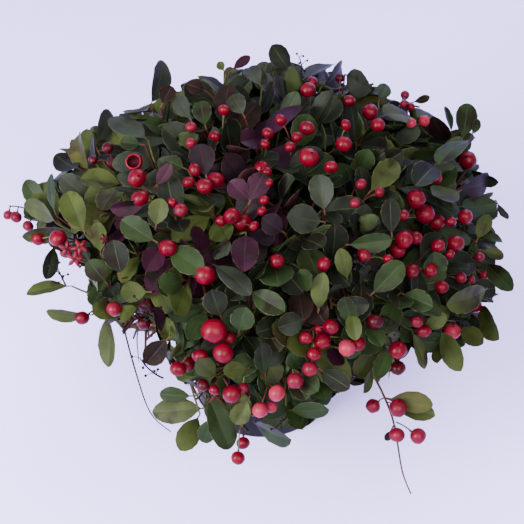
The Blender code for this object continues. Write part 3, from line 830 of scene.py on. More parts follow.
# What stands out from the front, in the photograph's pixels. A leaf has its root, its tip, how wide it
# shows and its tint. A cluster has its tint and, for each berry, its place and its radius.
SeenLeaf = namedtuple("SeenLeaf", "root tip width tint")
SeenBerries = namedtuple("SeenBerries", "tint berries")
SEEN_LEAVES = (
    SeenLeaf((48, 215), (25, 180), 20, "green"),
    SeenLeaf((60, 224), (38, 184), 27, "olive"),
    SeenLeaf((56, 215), (51, 173), 9, "green"),
    SeenLeaf((85, 234), (66, 192), 24, "bright"),
    SeenLeaf((82, 232), (22, 237), 9, "olive"),
    SeenLeaf((55, 222), (23, 205), 15, "olive"),
    SeenLeaf((54, 243), (46, 280), 12, "deep"),
    SeenLeaf((72, 286), (26, 294), 11, "olive"),
    SeenLeaf((92, 315), (46, 311), 10, "olive"),
    SeenLeaf((78, 168), (55, 154), 20, "deep"),
    SeenLeaf((90, 172), (78, 134), 17, "yellow"),
    SeenLeaf((106, 312), (108, 368), 17, "olive"),
    SeenLeaf((101, 256), (97, 222), 15, "bright"),
    SeenLeaf((122, 278), (113, 240), 24, "deep"),
    SeenLeaf((108, 285), (88, 260), 26, "green"),
    SeenLeaf((158, 243), (121, 220), 22, "green"),
    SeenLeaf((155, 230), (161, 198), 18, "olive"),
    SeenLeaf((150, 203), (110, 209), 13, "plum"),
    SeenLeaf((154, 188), (171, 163), 11, "wine"),
    SeenLeaf((163, 243), (146, 271), 20, "plum"),
    SeenLeaf((168, 246), (203, 272), 24, "green"),
    SeenLeaf((152, 292), (120, 292), 20, "olive"),
    SeenLeaf((120, 303), (130, 318), 18, "bright"),
    SeenLeaf((150, 106), (164, 61), 12, "bluish"),
    SeenLeaf((160, 108), (172, 86), 16, "brown"),
    SeenLeaf((208, 92), (187, 84), 18, "brown"),
    SeenLeaf((230, 72), (250, 56), 11, "plum"),
    SeenLeaf((226, 74), (218, 62), 9, "olive"),
    SeenLeaf((262, 88), (248, 67), 17, "bluish"),
    SeenLeaf((148, 140), (111, 117), 21, "bluish"),
    SeenLeaf((150, 106), (125, 113), 9, "bluish"),
    SeenLeaf((95, 145), (110, 110), 12, "bluish"),
    SeenLeaf((192, 122), (177, 97), 15, "bluish"),
    SeenLeaf((206, 129), (200, 101), 18, "green"),
    SeenLeaf((245, 118), (232, 95), 18, "bluish"),
    SeenLeaf((145, 145), (120, 142), 14, "green"),
    SeenLeaf((188, 170), (166, 160), 19, "green"),
    SeenLeaf((207, 180), (199, 144), 27, "slate"),
    SeenLeaf((252, 202), (229, 181), 20, "plum"),
    SeenLeaf((248, 205), (264, 173), 20, "plum"),
    SeenLeaf((246, 232), (244, 272), 24, "plum"),
    SeenLeaf((286, 234), (262, 218), 20, "slate"),
    SeenLeaf((292, 74), (272, 45), 21, "deep"),
    SeenLeaf((302, 80), (333, 64), 15, "bluish"),
    SeenLeaf((322, 86), (342, 66), 13, "deep"),
    SeenLeaf((345, 74), (371, 90), 17, "bluish"),
    SeenLeaf((378, 103), (387, 84), 15, "green"),
    SeenLeaf((414, 119), (383, 113), 18, "olive"),
    SeenLeaf((410, 103), (430, 97), 7, "olive"),
    SeenLeaf((448, 142), (433, 116), 13, "brown"),
    SeenLeaf((452, 135), (445, 106), 8, "green"),
    SeenLeaf((462, 142), (468, 103), 22, "green"),
    SeenLeaf((470, 138), (479, 119), 9, "green"),
    SeenLeaf((470, 140), (438, 165), 13, "green"),
    SeenLeaf((458, 190), (489, 180), 20, "slate"),
    SeenLeaf((468, 168), (499, 183), 7, "deep"),
    SeenLeaf((460, 206), (497, 202), 20, "green"),
    SeenLeaf((496, 200), (508, 219), 8, "deep"),
    SeenLeaf((462, 190), (432, 194), 17, "olive"),
    SeenLeaf((476, 243), (489, 214), 15, "olive"),
    SeenLeaf((478, 240), (503, 241), 8, "green"),
    SeenLeaf((478, 250), (504, 257), 11, "olive"),
    SeenLeaf((484, 262), (513, 291), 19, "green"),
    SeenLeaf((435, 282), (434, 252), 23, "green"),
    SeenLeaf((436, 165), (415, 186), 24, "deep"),
    SeenLeaf((368, 194), (397, 161), 22, "olive"),
    SeenLeaf((325, 215), (318, 174), 22, "bluish"),
    SeenLeaf((326, 222), (287, 217), 26, "bluish"),
    SeenLeaf((392, 238), (390, 198), 18, "deep"),
    SeenLeaf((345, 245), (392, 240), 16, "green"),
    SeenLeaf((481, 303), (499, 340), 10, "olive"),
    SeenLeaf((458, 326), (483, 344), 18, "olive"),
    SeenLeaf((440, 328), (461, 371), 18, "olive"),
    SeenLeaf((412, 330), (426, 368), 11, "olive"),
    SeenLeaf((488, 288), (446, 305), 22, "olive"),
    SeenLeaf((370, 296), (403, 262), 22, "green"),
    SeenLeaf((352, 330), (344, 297), 15, "green"),
    SeenLeaf((350, 308), (356, 341), 14, "bright"),
    SeenLeaf((348, 282), (340, 248), 15, "olive"),
    SeenLeaf((318, 313), (324, 272), 15, "olive"),
    SeenLeaf((318, 368), (350, 389), 18, "deep"),
    SeenLeaf((373, 365), (364, 393), 8, "bright"),
    SeenLeaf((392, 345), (377, 379), 14, "green"),
    SeenLeaf((170, 336), (146, 364), 20, "brown"),
    SeenLeaf((195, 396), (159, 394), 15, "green"),
    SeenLeaf((205, 408), (152, 412), 22, "olive"),
    SeenLeaf((200, 414), (180, 451), 22, "olive"),
    SeenLeaf((213, 414), (203, 443), 17, "green"),
    SeenLeaf((207, 393), (230, 450), 24, "green"),
    SeenLeaf((253, 422), (291, 440), 20, "green"),
    SeenLeaf((250, 396), (235, 424), 18, "olive"),
    SeenLeaf((250, 368), (223, 371), 15, "bright"),
    SeenLeaf((218, 378), (197, 360), 17, "olive"),
    SeenLeaf((238, 334), (246, 307), 22, "green"),
    SeenLeaf((222, 320), (211, 290), 24, "deep"),
    SeenLeaf((307, 318), (278, 328), 20, "bluish"),
    SeenLeaf((248, 290), (285, 312), 20, "green"),
    SeenLeaf((212, 264), (251, 296), 16, "bluish"),
    SeenLeaf((266, 378), (262, 343), 14, "green"),
    SeenLeaf((286, 410), (329, 410), 16, "green"),
    SeenLeaf((162, 335), (154, 307), 7, "slate"),
    SeenLeaf((443, 338), (437, 363), 6, "olive"),
)
SEEN_BERRIES = (
    SeenBerries("scarlet", ((38, 238, 8), (58, 238, 9))),
    SeenBerries("red", ((82, 318, 7.5),)),
    SeenBerries("rose", ((114, 309, 7.5),)),
    SeenBerries("crimson", ((108, 148, 6), (93, 160, 5))),
    SeenBerries("red", ((137, 178, 9), (140, 198, 8.5))),
    SeenBerries("rose", ((172, 203, 5.5), (181, 210, 6.5))),
    SeenBerries("red", ((195, 170, 7), (205, 186, 8), (216, 180, 8.5), (189, 182, 6))),
    SeenBerries("scarlet", ((168, 248, 9),)),
    SeenBerries("scarlet", ((205, 275, 10),)),
    SeenBerries("red", ((232, 216, 8), (243, 222, 8.5), (221, 221, 5.5), (254, 226, 5))),
    SeenBerries("rose", ((191, 127, 5.5), (191, 143, 5.5))),
    SeenBerries("red", ((215, 136, 6), (224, 110, 6))),
    SeenBerries("red", ((268, 133, 6), (265, 144, 5))),
    SeenBerries("red", ((307, 128, 7.5), (297, 137, 5.5), (290, 147, 5.5), (281, 120, 6))),
    SeenBerries("scarlet", ((309, 157, 9.5),)),
    SeenBerries("red", ((331, 167, 6.5),)),
    SeenBerries("red", ((308, 90, 8), (312, 82, 6))),
    SeenBerries("crimson", ((340, 78, 5), (349, 101, 6.5))),
    SeenBerries("scarlet", ((344, 144, 8), (346, 125, 5.5))),
    SeenBerries("red", ((370, 112, 8.5), (378, 125, 7))),
    SeenBerries("pink", ((411, 123, 5.5), (424, 121, 6))),
    SeenBerries("rose", ((405, 95, 5), (404, 104, 4.5), (411, 107, 4.5))),
    SeenBerries("red", ((436, 178, 6.5),)),
    SeenBerries("scarlet", ((468, 160, 9.5),)),
    SeenBerries("scarlet", ((416, 199, 10), (425, 214, 10), (437, 222, 8), (403, 215, 6))),
    SeenBerries("red", ((465, 217, 8), (451, 222, 5.5))),
    SeenBerries("scarlet", ((404, 240, 8.5), (398, 250, 8), (416, 238, 6.5))),
    SeenBerries("red", ((438, 246, 7.5), (455, 244, 9), (450, 254, 5))),
    SeenBerries("red", ((412, 271, 7), (430, 270, 7.5))),
    SeenBerries("rose", ((442, 287, 6.5), (461, 278, 6), (471, 280, 4.5))),
    SeenBerries("rose", ((479, 257, 5.5), (484, 275, 5.5))),
    SeenBerries("red", ((475, 306, 7.5),)),
    SeenBerries("rose", ((424, 331, 7), (417, 322, 6))),
    SeenBerries("pink", ((452, 331, 9),)),
    SeenBerries("crimson", ((398, 350, 9), (398, 368, 7.5))),
    SeenBerries("red", ((364, 256, 7), (388, 259, 5))),
    SeenBerries("pink", ((361, 184, 5.5),)),
    SeenBerries("rose", ((355, 203, 5), (380, 192, 5))),
    SeenBerries("red", ((324, 264, 7),)),
    SeenBerries("red", ((277, 261, 7),)),
    SeenBerries(
        "scarlet",
        ((331, 327, 8), (322, 341, 8.5), (314, 354, 6.5), (306, 338, 6.5), (319, 329, 5)),
    ),
    SeenBerries("rose", ((310, 369, 7.5),)),
    SeenBerries("pink", ((347, 348, 8),)),
    SeenBerries("red", ((358, 344, 7),)),
    SeenBerries("rose", ((295, 381, 8),)),
    SeenBerries("pink", ((277, 393, 8), (260, 410, 7.5), (271, 407, 6))),
    SeenBerries("scarlet", ((214, 331, 12),)),
    SeenBerries("red", ((223, 353, 10), (229, 338, 6))),
    SeenBerries("red", ((200, 356, 7.5),)),
    SeenBerries("red", ((178, 369, 8), (188, 364, 7))),
    SeenBerries("crimson", ((203, 385, 6), (214, 390, 5.5), (232, 394, 9))),
    SeenBerries("rose", ((243, 388, 5.5),)),
    SeenBerries("red", ((243, 443, 7),)),
    SeenBerries("scarlet", ((238, 458, 7),)),
    SeenBerries("red", ((267, 172, 5), (269, 183, 4.5), (264, 200, 5), (262, 211, 5))),
    SeenBerries("crimson", ((375, 322, 8),)),
)
# Berries that have opened, and calyces spread like stars: place, radius, tint and shape.
SPENT_BERRIES = (
    ((134, 162), 8, "scarlet", "open"),
    ((67, 249), 5, "rose", "star"),
    ((80, 247), 5, "red", "star"),
    ((75, 259), 5, "rose", "star"),
    ((104, 239), 3, "crimson", "star"),
)
OTHER_TINTS = {"red": "scarlet", "scarlet": "red", "rose": "red", "pink": "rose", "crimson": "red"}
SEEN_SIZE = 0.93
SEEN_SHARE = 0.80
SEEN_BERRY_DEPTH = 0.007
SEEN_ROOT_DEPTH = 0.012
SEEN_REACH = 0.040
LONGEST_LEAF = 0.035
SLIMMEST_LEAF = 0.44
SEEN_TIP_DEPTH = 0.001
SEEN_STEP = 0.001
SEEN_TINT = 0.75
SEEN_LEAF_TURN = 0.25
SEEN_LEAF_WIDEST = 1.2
SEEN_LEAF_ROLL = 0.85
SEEN_LEAF_TWIST = 0.4
CLEAR_SHARES = (0.25, 0.5, 0.75, 0.95)
CLEAR_RISE = 0.004
CLEAR_WIDTH = 2.4

# Clusters that the photograph doesn't show: on the other sides, where any that would show from the
# front are left out, and deep in the foliage. Each layer has their number, depth and berry counts.
ClusterLayer = namedtuple("ClusterLayer", "clusters depth counts unseen")
CLUSTER_LAYERS = (
    ClusterLayer(90, 0.009, (1, 2, 3, 3, 4), True),
    ClusterLayer(14, 0.024, (1, 1, 2), False),
)
CLUSTER_TINTS = ("red", "scarlet", "rose", "crimson", "red")
CLUSTER_SPAN = 1.5
CLUSTER_TURN = 68.0
CLUSTER_SPACING = 2.04
CLUSTER_DEPTHS = (-0.003, 0.002)
UNSEEN_FACING = -0.30

# Tints by place: each zone's middle on the skin, how far it fades, and its tints.
Zone = namedtuple("Zone", "azimuth angle fade tints")
# The bluish-grey tint of the top and back zones is painted sky sheen.
ZONES = (
    Zone(285, 80, 46, "olive bright olive green"),
    Zone(0, 104, 42, "olive green bright deep"),
    Zone(60, 82, 46, "green olive deep green"),
    Zone(5, 50, 36, "deep green green deep"),
    Zone(60, 30, 36, "bluish green deep bluish"),
    Zone(300, 30, 36, "bluish green deep bluish"),
    Zone(180, 60, 60, "bluish deep deep bluish"),
    Zone(180, 105, 60, "green deep olive green"),
)
# Inner leaves take lighter tints: painted fill light that lifts the shade deep inside the foliage.
INNER_PAINTED_FILL_TINTS = ("green", "bluish", "olive", "plum", "olive", "bright")
ACCENT_SHARE = 0.85
STRAY_SHARE = 0.025
STRAY_TINTS = ("plum", "brown", "yellow", "slate")
Accent = namedtuple("Accent", "azimuth angle reach tint")
ACCENTS = (
    Accent(353, 29, 9, "plum"),
    Accent(353, 43, 7, "plum"),
    Accent(5, 37, 6, "slate"),
    Accent(325, 46, 6, "plum"),
    Accent(317, 33, 5, "wine"),
    Accent(306, 45, 6, "plum"),
    Accent(330, 22, 7, "slate"),
    Accent(277, 44, 6, "yellow"),
    Accent(327, 57, 5, "olive"),
    Accent(338, 34, 6, "olive"),
    Accent(335, 40, 5, "brown"),
    Accent(345, 8, 7, "plum"),
    Accent(310, 12, 7, "brown"),
    Accent(100, 70, 7, "plum"),
    Accent(150, 60, 7, "slate"),
    Accent(215, 50, 8, "plum"),
    Accent(240, 80, 7, "yellow"),
)

# Long shoots that hang out of the foliage: pixels across and down, with heights in metres. A leaf has
# its root, its tip, its width and its tint, and a berry its place, its radius and its stalk's foot.
Runner = namedtuple("Runner", "mass look radius route leaves berries")
RUNNERS = (
    Runner(
        "low_023", "shoot_red", 0.0009,
        (
            (345, 352, 0.112), (362, 362, 0.118), (376, 380, 0.116),
            (393, 420, 0.098), (402, 470, 0.058), (411, 494, 0.040),
        ),
        (
            ((386, 398, 0.108), (433, 405, 0.112), 20, "yellow"),
            ((388, 399, 0.106), (436, 416, 0.100), 18, "olive"),
            ((393, 426, 0.095), (386, 441, 0.089), 7, "brown"),
        ),
        (
            ((373, 406, 0.103), 7.5, (384, 398, 0.108)),
            ((398, 408, 0.108), 9.0, (386, 402, 0.106)),
            ((397, 435, 0.093), 8.0, (394, 424, 0.096)),
            ((418, 436, 0.094), 8.0, (396, 422, 0.097)),
        ),
    ),
    Runner(
        "middle_270", "dry_black", 0.0009,
        ((62, 232, 0.120), (42, 219, 0.132), (24, 208, 0.138), (9, 206, 0.138)),
        (),
        (
            ((8, 215, 0.133), 5.4, (11, 206, 0.138)),
            ((16, 217, 0.134), 7.0, (19, 207, 0.138)),
            ((28, 226, 0.130), 6.2, (34, 214, 0.135)),
        ),
    ),
    Runner(
        "low_293", "dry_black", 0.0007,
        ((122, 318, 0.088), (134, 366, 0.062), (150, 412, 0.038), (171, 432, 0.030)),
        (), (),
    ),
    Runner(
        "low_293", "dry_black", 0.0006,
        ((140, 318, 0.080), (137, 338, 0.066), (139, 362, 0.056)),
        (), (),
    ),
)
# Dry racemes that have lost their berries: pixels of the foot and of the tip.
DRY_RACEMES = (
    ((166, 318), (139, 301)), ((158, 322), (143, 312)), ((163, 378), (140, 358)),
    ((66, 286), (56, 264)), ((300, 78), (299, 57)), ((440, 314), (468, 322)),
    ((300, 412), (276, 428)), ((382, 316), (398, 330)), ((352, 262), (366, 268)),
)
DRY_DEPTH = 0.004
DRY_BEND = 0.003
DRY_RADII = [0.0006 - 0.0003 * k / 8 for k in range(9)]
DRY_TWIG_REACHES = (0.002, 0.0045)
DRY_TWIG_FORWARD = 0.0015
DRY_TWIG_BEND = 0.001
DRY_TWIG_RADII = (0.0003, 0.00025, 0.00025, 0.0003)
DRY_KNOB = 0.0008
DRY_KNOB_RISES = (-1.0, -0.5, 0.3, 0.9)
DRY_KNOB_WIDTHS = (0.3, 0.9, 1.0, 0.2)
RUNNER_STEPS = 7
RUNNER_TAPER = 0.55
RUNNER_LEAF_STALK = (0.0006, 0.0005, 0.0005)
BOW = 0.66


def bowed(start, bend, end, steps):
    """A curve from start to end that is drawn towards bend."""
    return interpolate_bezier(start, start.lerp(bend, BOW), end.lerp(bend, BOW), end, steps)


def facing_angle(azimuth, angle, place):
    """The angle between a direction from the dome's middle and that to a place."""
    sine, cosine = math.sin(math.radians(angle)), math.cos(math.radians(angle))
    there = Vector((place.x, place.y, (place.z - DOME_WAIST) * SKIN_RADIUS / SKIN_RISE))
    return math.degrees(around(azimuth, sine, cosine).angle(there, 0.0))


def tints_at(place):
    """The tint of an accent at that place, if there is one, and how much each zone counts."""
    accent = None
    for each in ACCENTS:
        if facing_angle(each.azimuth, each.angle, place) < each.reach:
            accent = each.tint
    weights = [math.exp(-((facing_angle(z.azimuth, z.angle, place) / z.fade) ** 2)) for z in ZONES]
    return accent, weights


def pick_tint(place, dice):
    """A tint for a leaf at that place: an accent's, a stray one, or one of a zone's."""
    accent, weights = tints_at(place)
    if accent and dice.random() < ACCENT_SHARE:
        return accent
    if dice.random() < STRAY_SHARE:
        return dice.choice(STRAY_TINTS)
    zone = dice.choices(ZONES, weights)[0]
    return dice.choice(zone.tints.split())


class Canopy:
    """The leaves, berries and twigs that have found their place."""

    def __init__(self, masses):
        self.leaves, self.patches, self.berries, self.sights = [], [], [], []
        self.middles = np.zeros((MOST_LEAVES, 3))
        self.bisectors = {}
        for mass in masses:
            others = [other.centre for other in masses if other is not mass]
            normals = [(other - mass.centre).normalized() for other in others]
            limits = [n.dot((o + mass.centre) / 2) for n, o in zip(normals, others)]
            self.bisectors[mass.name] = np.array(normals), np.array(limits)
        points = [point for mass in masses for point in mass.path]
        self.boughs = KDTree(len(points))
        for k, point in enumerate(points):
            self.boughs.insert(point, k)
        self.boughs.balance()

    def keep_sight(self, place, way, radius, reach):
        """Keeps a ball at place clear of leaves, and the way out of it as far as it reaches."""
        self.sights.append((*place, *way, radius, reach))

    def settle_sights(self):
        """Gathers the sights into arrays, for testing leaves against them."""
        self.sight_lines = np.array(self.sights)
        places, ways, radii, reach = np.split(self.sight_lines, (3, 6, 7), axis=1)
        self.sight_middles = places + ways * reach / 2
        self.sight_spans = (reach / 2 + radii)[:, 0] + LEAF_LENGTH

    def blocks_sight(self, samples):
        """Whether a sample lies in a ball that is kept clear, or in the way out of it."""
        apart = np.linalg.norm(self.sight_middles - samples.mean(axis=0), axis=1)
        near = self.sight_lines[apart < self.sight_spans]
        places, ways, radii, reach = np.split(near, (3, 6, 7), axis=1)
        apart = samples[:, None, :] - places[None]
        along = np.clip((apart * ways).sum(-1), 0.0, reach.T)
        gap = np.linalg.norm(apart - along[..., None] * ways, axis=-1)
        return bool((gap < radii.T).any())

    def fits(self, samples, mass):
        """Whether the samples stay within reach, near the mass's space and off everything."""
        if (samples < np.array(cad_low) + BOX_MARGIN_LOW).any():
            return False
        if (samples > np.array(cad_high) - BOX_MARGIN_HIGH).any():
            return False
        beside = np.hypot(samples[:, 0], samples[:, 1]) > POT_LIP_RADIUS + POT_CLEARANCE
        if not (beside | (samples[:, 2] > POT_HEIGHT + POT_CLEARANCE)).all():
            return False
        normals, limits = self.bisectors[mass.name]
        if (samples @ normals.T > limits + OVERHANG).any():
            return False
        if not in_outline(samples).all():
            return False
        if self.boughs.find(Vector(samples.mean(axis=0)))[2] < BOUGH_NEAR:
            if any(self.boughs.find(Vector(s))[2] < BOUGH_CLEARANCE for s in samples[::2]):
                return False
        return not self.blocks_sight(samples)

    def crowd(self, place):
        """The leaves near a place, as one tree that tells whether a new leaf crosses them."""
        count = len(self.leaves)
        gaps = np.linalg.norm(self.middles[:count] - np.array(place), axis=1)
        near = np.nonzero(gaps < CROWD_REACH)[0]
        if not len(near):
            return None
        points = np.concatenate([self.patches[k] for k in near])
        steps = np.arange(len(near))[:, None, None] * len(self.patches[0])
        faces = (steps + np.array(TEST_FACES)[None]).reshape(-1, 4)
        return BVHTree.FromPolygons(points.tolist(), faces.tolist())

    def keep(self, leaf, samples):
        """Gives the leaf its place, known to the others by its samples."""
        self.middles[len(self.leaves)] = samples.mean(axis=0)
        self.leaves.append(leaf)
        self.patches.append(samples)

    def try_leaf(self, leaf, mass, crowd):
        """Keeps the leaf if it fits and crosses no other."""
        samples = leaf_surface(leaf, TEST_ROWS, TEST_COLUMNS).reshape(-1, 3)
        if not self.fits(samples, mass):
            return False
        if crowd and BVHTree.FromPolygons(samples.tolist(), TEST_FACES).overlap(crowd):
            return False
        self.keep(leaf, samples)
        return True


def leaf_spiral(canopy, mass, tip, back, aim, count, fine, dice):
    """The leaves of one shoot: each is moved round, raised and shortened until it fits."""
    side = turned(side_of(aim), aim, dice.uniform(0, 360))
    tint = pick_tint(tip, dice) if fine else dice.choice(INNER_PAINTED_FILL_TINTS)
    crowd = canopy.crowd(tip)
    for k in range(count):
        root = tip + back * (FIRST_LEAF + LEAF_STEP * k)
        size = dice.uniform(*LEAF_SIZES) * (TIP_LEAF_SIZE if k == 0 else 1.0)
        lean = LEAN_FIRST + LEAN_STEP * k + dice.uniform(-LEAN_SPREAD, LEAN_SPREAD)
        swing = GOLDEN_ANGLE * k + dice.uniform(-SWING_SPREAD, SWING_SPREAD)
        roll = dice.gauss(0, ROLL_SPREAD)
        own = tint if dice.random() < SAME_TINT or not fine else pick_tint(tip, dice)
        for attempt in range(LEAF_TRIES):
            shift = (-1) ** attempt * TRY_SWING * ((attempt + 1) // 2)
            outward = turned(side, aim, swing + shift)
            axis = aim.cross(outward).normalized()
            leaf_aim = turned(aim, axis, lean - TRY_LEAN * (attempt % 4))
            up = turned(aim + Vector((0.0, 0.0, LEAF_FACE_UP)), leaf_aim, roll)
            own_size = size * (1.0 - TRY_SHRINK * attempt)
            leaf = new_leaf(root, leaf_aim, up, dice, own, own_size, fine)
            if canopy.try_leaf(leaf, mass, crowd):
                crowd = canopy.crowd(tip)
                break


def hang_berry(canopy, stalks, berry, dice):
    """Adds a berry and its curved stalk, and keeps it clear of leaves."""
    canopy.berries.append(berry)
    pole = berry.place + (berry.stalk - berry.place).normalized() * berry.radius * 0.96
    bend = berry.stalk.lerp(pole, 0.5) + berry.outward * STALK_BEND + Vector((0.0, 0.0, STALK_BEND))
    colour = dice.choice(("shoot_red", "shoot_green", "shoot_red"))
    stalks.add(*tube(bowed(berry.stalk, bend, pole, 5), STALK_RADII, 5), colour)
    canopy.keep_sight(berry.place, berry.outward, berry.radius, BERRY_SIGHT)


def is_free(canopy, place, radius):
    """Whether a berry there would touch none of the others."""
    gaps = ((place - other.place).length - radius - other.radius for other in canopy.berries)
    return min(gaps, default=1.0) > -BERRY_OVERLAP


def hang_seen_berries(canopy, stalks, dice):
    """The clusters that show from the front, and where their racemes leave the foliage."""
    feet = []
    for each in SEEN_BERRIES:
        places = [seen_point((x, y), SEEN_BERRY_DEPTH) for x, y, _ in each.berries]
        middle = sum(places, Vector()) / len(places)
        foot = middle - way_out_at(middle) * RACEME_DEPTH + Vector((0.0, 0.0, RACEME_RISES[0]))
        feet.append(foot)
        for place, (_, _, size) in zip(places, each.berries):
            radius = size * SEEN_SIZE * PIXEL
            away = (place - VIEW_EYE).normalized()
            while not is_free(canopy, place, radius):
                place = place + away * SEEN_STEP
            look = each.tint if dice.random() < SEEN_TINT else OTHER_TINTS[each.tint]
            berry = Berry(place, radius, way_out_at(place), foot, look, "round")
            hang_berry(canopy, stalks, berry, dice)
            canopy.keep_sight(place, -away, radius * SEEN_SHARE, SEEN_REACH)
    for (x, y), size, tint, shape in SPENT_BERRIES:
        place, radius = seen_point((x, y), SEEN_BERRY_DEPTH), size * PIXEL
        facing = (VIEW_EYE - place).normalized()
        foot = place - facing * SPENT_DEPTH
        feet.append(foot)
        hang_berry(canopy, stalks, Berry(place, radius, facing, foot, tint, shape), dice)
        canopy.keep_sight(place, facing, radius, SEEN_REACH)
    return feet


def hang_cluster(canopy, stalks, place, outward, count, dice):
    """A short raceme of berries packed round a place, on stalks from a common foot."""
    foot = place - outward * RACEME_DEPTH + Vector((0.0, 0.0, RACEME_RISES[1]))
    side = turned(side_of(outward), outward, dice.uniform(0, 360))
    tint = dice.choice(CLUSTER_TINTS)
    for k in range(count):
        radius = BERRY_RADIUS * dice.uniform(*BERRY_SIZES)
        reach = CLUSTER_SPACING * BERRY_RADIUS * (k > 0)
        beside = turned(side, outward, CLUSTER_TURN * k) * reach
        spot = place + beside + outward * dice.uniform(*CLUSTER_DEPTHS)
        spot.z = min(spot.z, cad_high.z - radius - BOX_MARGIN_LOW)
        if is_free(canopy, spot, radius):
            hang_berry(canopy, stalks, Berry(spot, radius, outward, foot, tint, "round"), dice)
    return foot


def hang_far_berries(canopy, stalks, dice):
    """Clusters all round the sides that the front view doesn't show, and deeper ones."""
    feet = []
    for layer in CLUSTER_LAYERS:
        for k in range(layer.clusters):
            angle = math.degrees(math.acos(1 - (k + 0.5) / layer.clusters * CLUSTER_SPAN))
            place, outward = skin_point(GOLDEN_ANGLE * k % 360, angle, layer.depth)
            shows = outward.dot((VIEW_EYE - place).normalized()) > UNSEEN_FACING
            if shows and layer.unseen or not in_outline(place)[0]:
                continue
            berries = dice.choice(layer.counts)
            feet.append(hang_cluster(canopy, stalks, place, outward, berries, dice))
    return feet


def seen_leaf(root, tip, width, tint, dice):
    """A leaf between two places that shows that wide from the front."""
    facing = (VIEW_EYE - root).normalized()
    aim, length = (tip - root).normalized(), (tip - root).length
    shown = min(width * PIXEL, LEAF_WIDTH_RATIO * length * SEEN_LEAF_WIDEST)
    real = max(shown, SLIMMEST_LEAF * length)
    roll = math.copysign(math.degrees(math.acos(shown / real)) * SEEN_LEAF_ROLL, dice.uniform(-1, 1))
    up = turned(facing + way_out_at(root) * SEEN_LEAF_TURN, aim, roll)
    leaf = new_leaf(root, aim, up, dice, tint)
    aim = turned(aim, up.cross(aim).normalized(), -math.degrees(leaf.curl) / 2)
    return leaf._replace(aim=aim, length=length, width=real, twist=leaf.twist * SEEN_LEAF_TWIST)


def keep_seen_leaf(canopy, leaf, tip, width):
    """Keeps a leaf, and the way from it to the eye."""
    canopy.keep(leaf, leaf_surface(leaf, TEST_ROWS, TEST_COLUMNS).reshape(-1, 3))
    facing = (VIEW_EYE - leaf.root).normalized()
    for share in CLEAR_SHARES:
        middle = leaf.root.lerp(tip, share)
        canopy.keep_sight(middle + facing * CLEAR_RISE, facing, width * PIXEL / CLEAR_WIDTH, SEEN_REACH)


def grow_seen_leaves(canopy, masses, limbs, foliage_of, stalks, dice):
    """The leaves that stand out from the front, each on a twig of its own."""
    for each in SEEN_LEAVES:
        tip = seen_point(each.tip, SEEN_TIP_DEPTH)
        root = seen_point(each.root, SEEN_ROOT_DEPTH)
        sight = sight_of(each.root)
        level = VIEW_EYE + sight * (tip - VIEW_EYE).dot(sight)
        reach = math.sqrt(max(LONGEST_LEAF**2 - (tip - level).length_squared, 0.0))
        step = max(-reach, min(reach, (root - level).dot(sight)))
        root = level + sight * step
        leaf = seen_leaf(root, tip, each.width, each.tint, dice)
        keep_seen_leaf(canopy, leaf, tip, each.width)
        mass = nearest_mass(masses, root)
        add_leaf(foliage_of(mass), leaf)
        grow_stalk(mass, limbs, root, stalks, dice)


def grow_stalk(mass, limbs, foot, stalks, dice):
    """A thin twig from the nearest limb of the mass out to foot."""
    starts = [path[TWIG_START] for _, path in limbs[mass.name]]
    near = min(starts, key=lambda start: (start - foot).length, default=mass.core)
    bend = near.lerp(foot, 0.6) - Vector((0.0, 0.0, SHOOT_SAG))
    colour = dice.choice(("shoot_red", "shoot_red", "shoot_green"))
    stalks.add(*tube(bowed(near, bend, foot, len(TWIG_RADII)), TWIG_RADII, SHOOT_SIDES), colour)


def smooth_route(points, steps):
    """A curve through the points, as steps places along it."""
    ends = [points[0]] + list(points) + [points[-1]]
    route = []
    for before, start, end, after in zip(ends, ends[1:], ends[2:], ends[3:]):
        first, second = start + (end - before) / 6, end - (after - start) / 6
        route += interpolate_bezier(start, first, second, end, steps)[:-1]
    return route + [points[-1]]


def grow_runner(canopy, masses, runner, foliage_of, stalks, dice):
    """A long hanging shoot, with its leaves and berries."""
    mass = next(mass for mass in masses if mass.name == runner.mass)
    points = [mass.core] + [seen_at_height((x, y), height) for x, y, height in runner.route]
    path = smooth_route(points, RUNNER_STEPS)
    radii = [runner.radius * (1.0 - RUNNER_TAPER * k / len(path)) for k in range(len(path))]
    stalks.add(*tube(path, radii, 6), runner.look)
    for (x, y, height), size, (foot_x, foot_y, foot_height) in runner.berries:
        place, foot = seen_at_height((x, y), height), seen_at_height((foot_x, foot_y), foot_height)
        radius = size * SEEN_SIZE * PIXEL
        outward = (place - foot).normalized()
        hang_berry(canopy, stalks, Berry(place, radius, outward, foot, "rose", "round"), dice)
    for root, tip, width, tint in runner.leaves:
        root, tip = seen_at_height(root[:2], root[2]), seen_at_height(tip[:2], tip[2])
        leaf = seen_leaf(root, tip, width, tint, dice)
        keep_seen_leaf(canopy, leaf, tip, width)
        add_leaf(foliage_of(mass), leaf)
        near = min(path, key=lambda point: (point - root).length)
        stalk = (near, near.lerp(root, 0.5), root)
        stalks.add(*tube(stalk, RUNNER_LEAF_STALK, SHOOT_SIDES), "shoot_red")


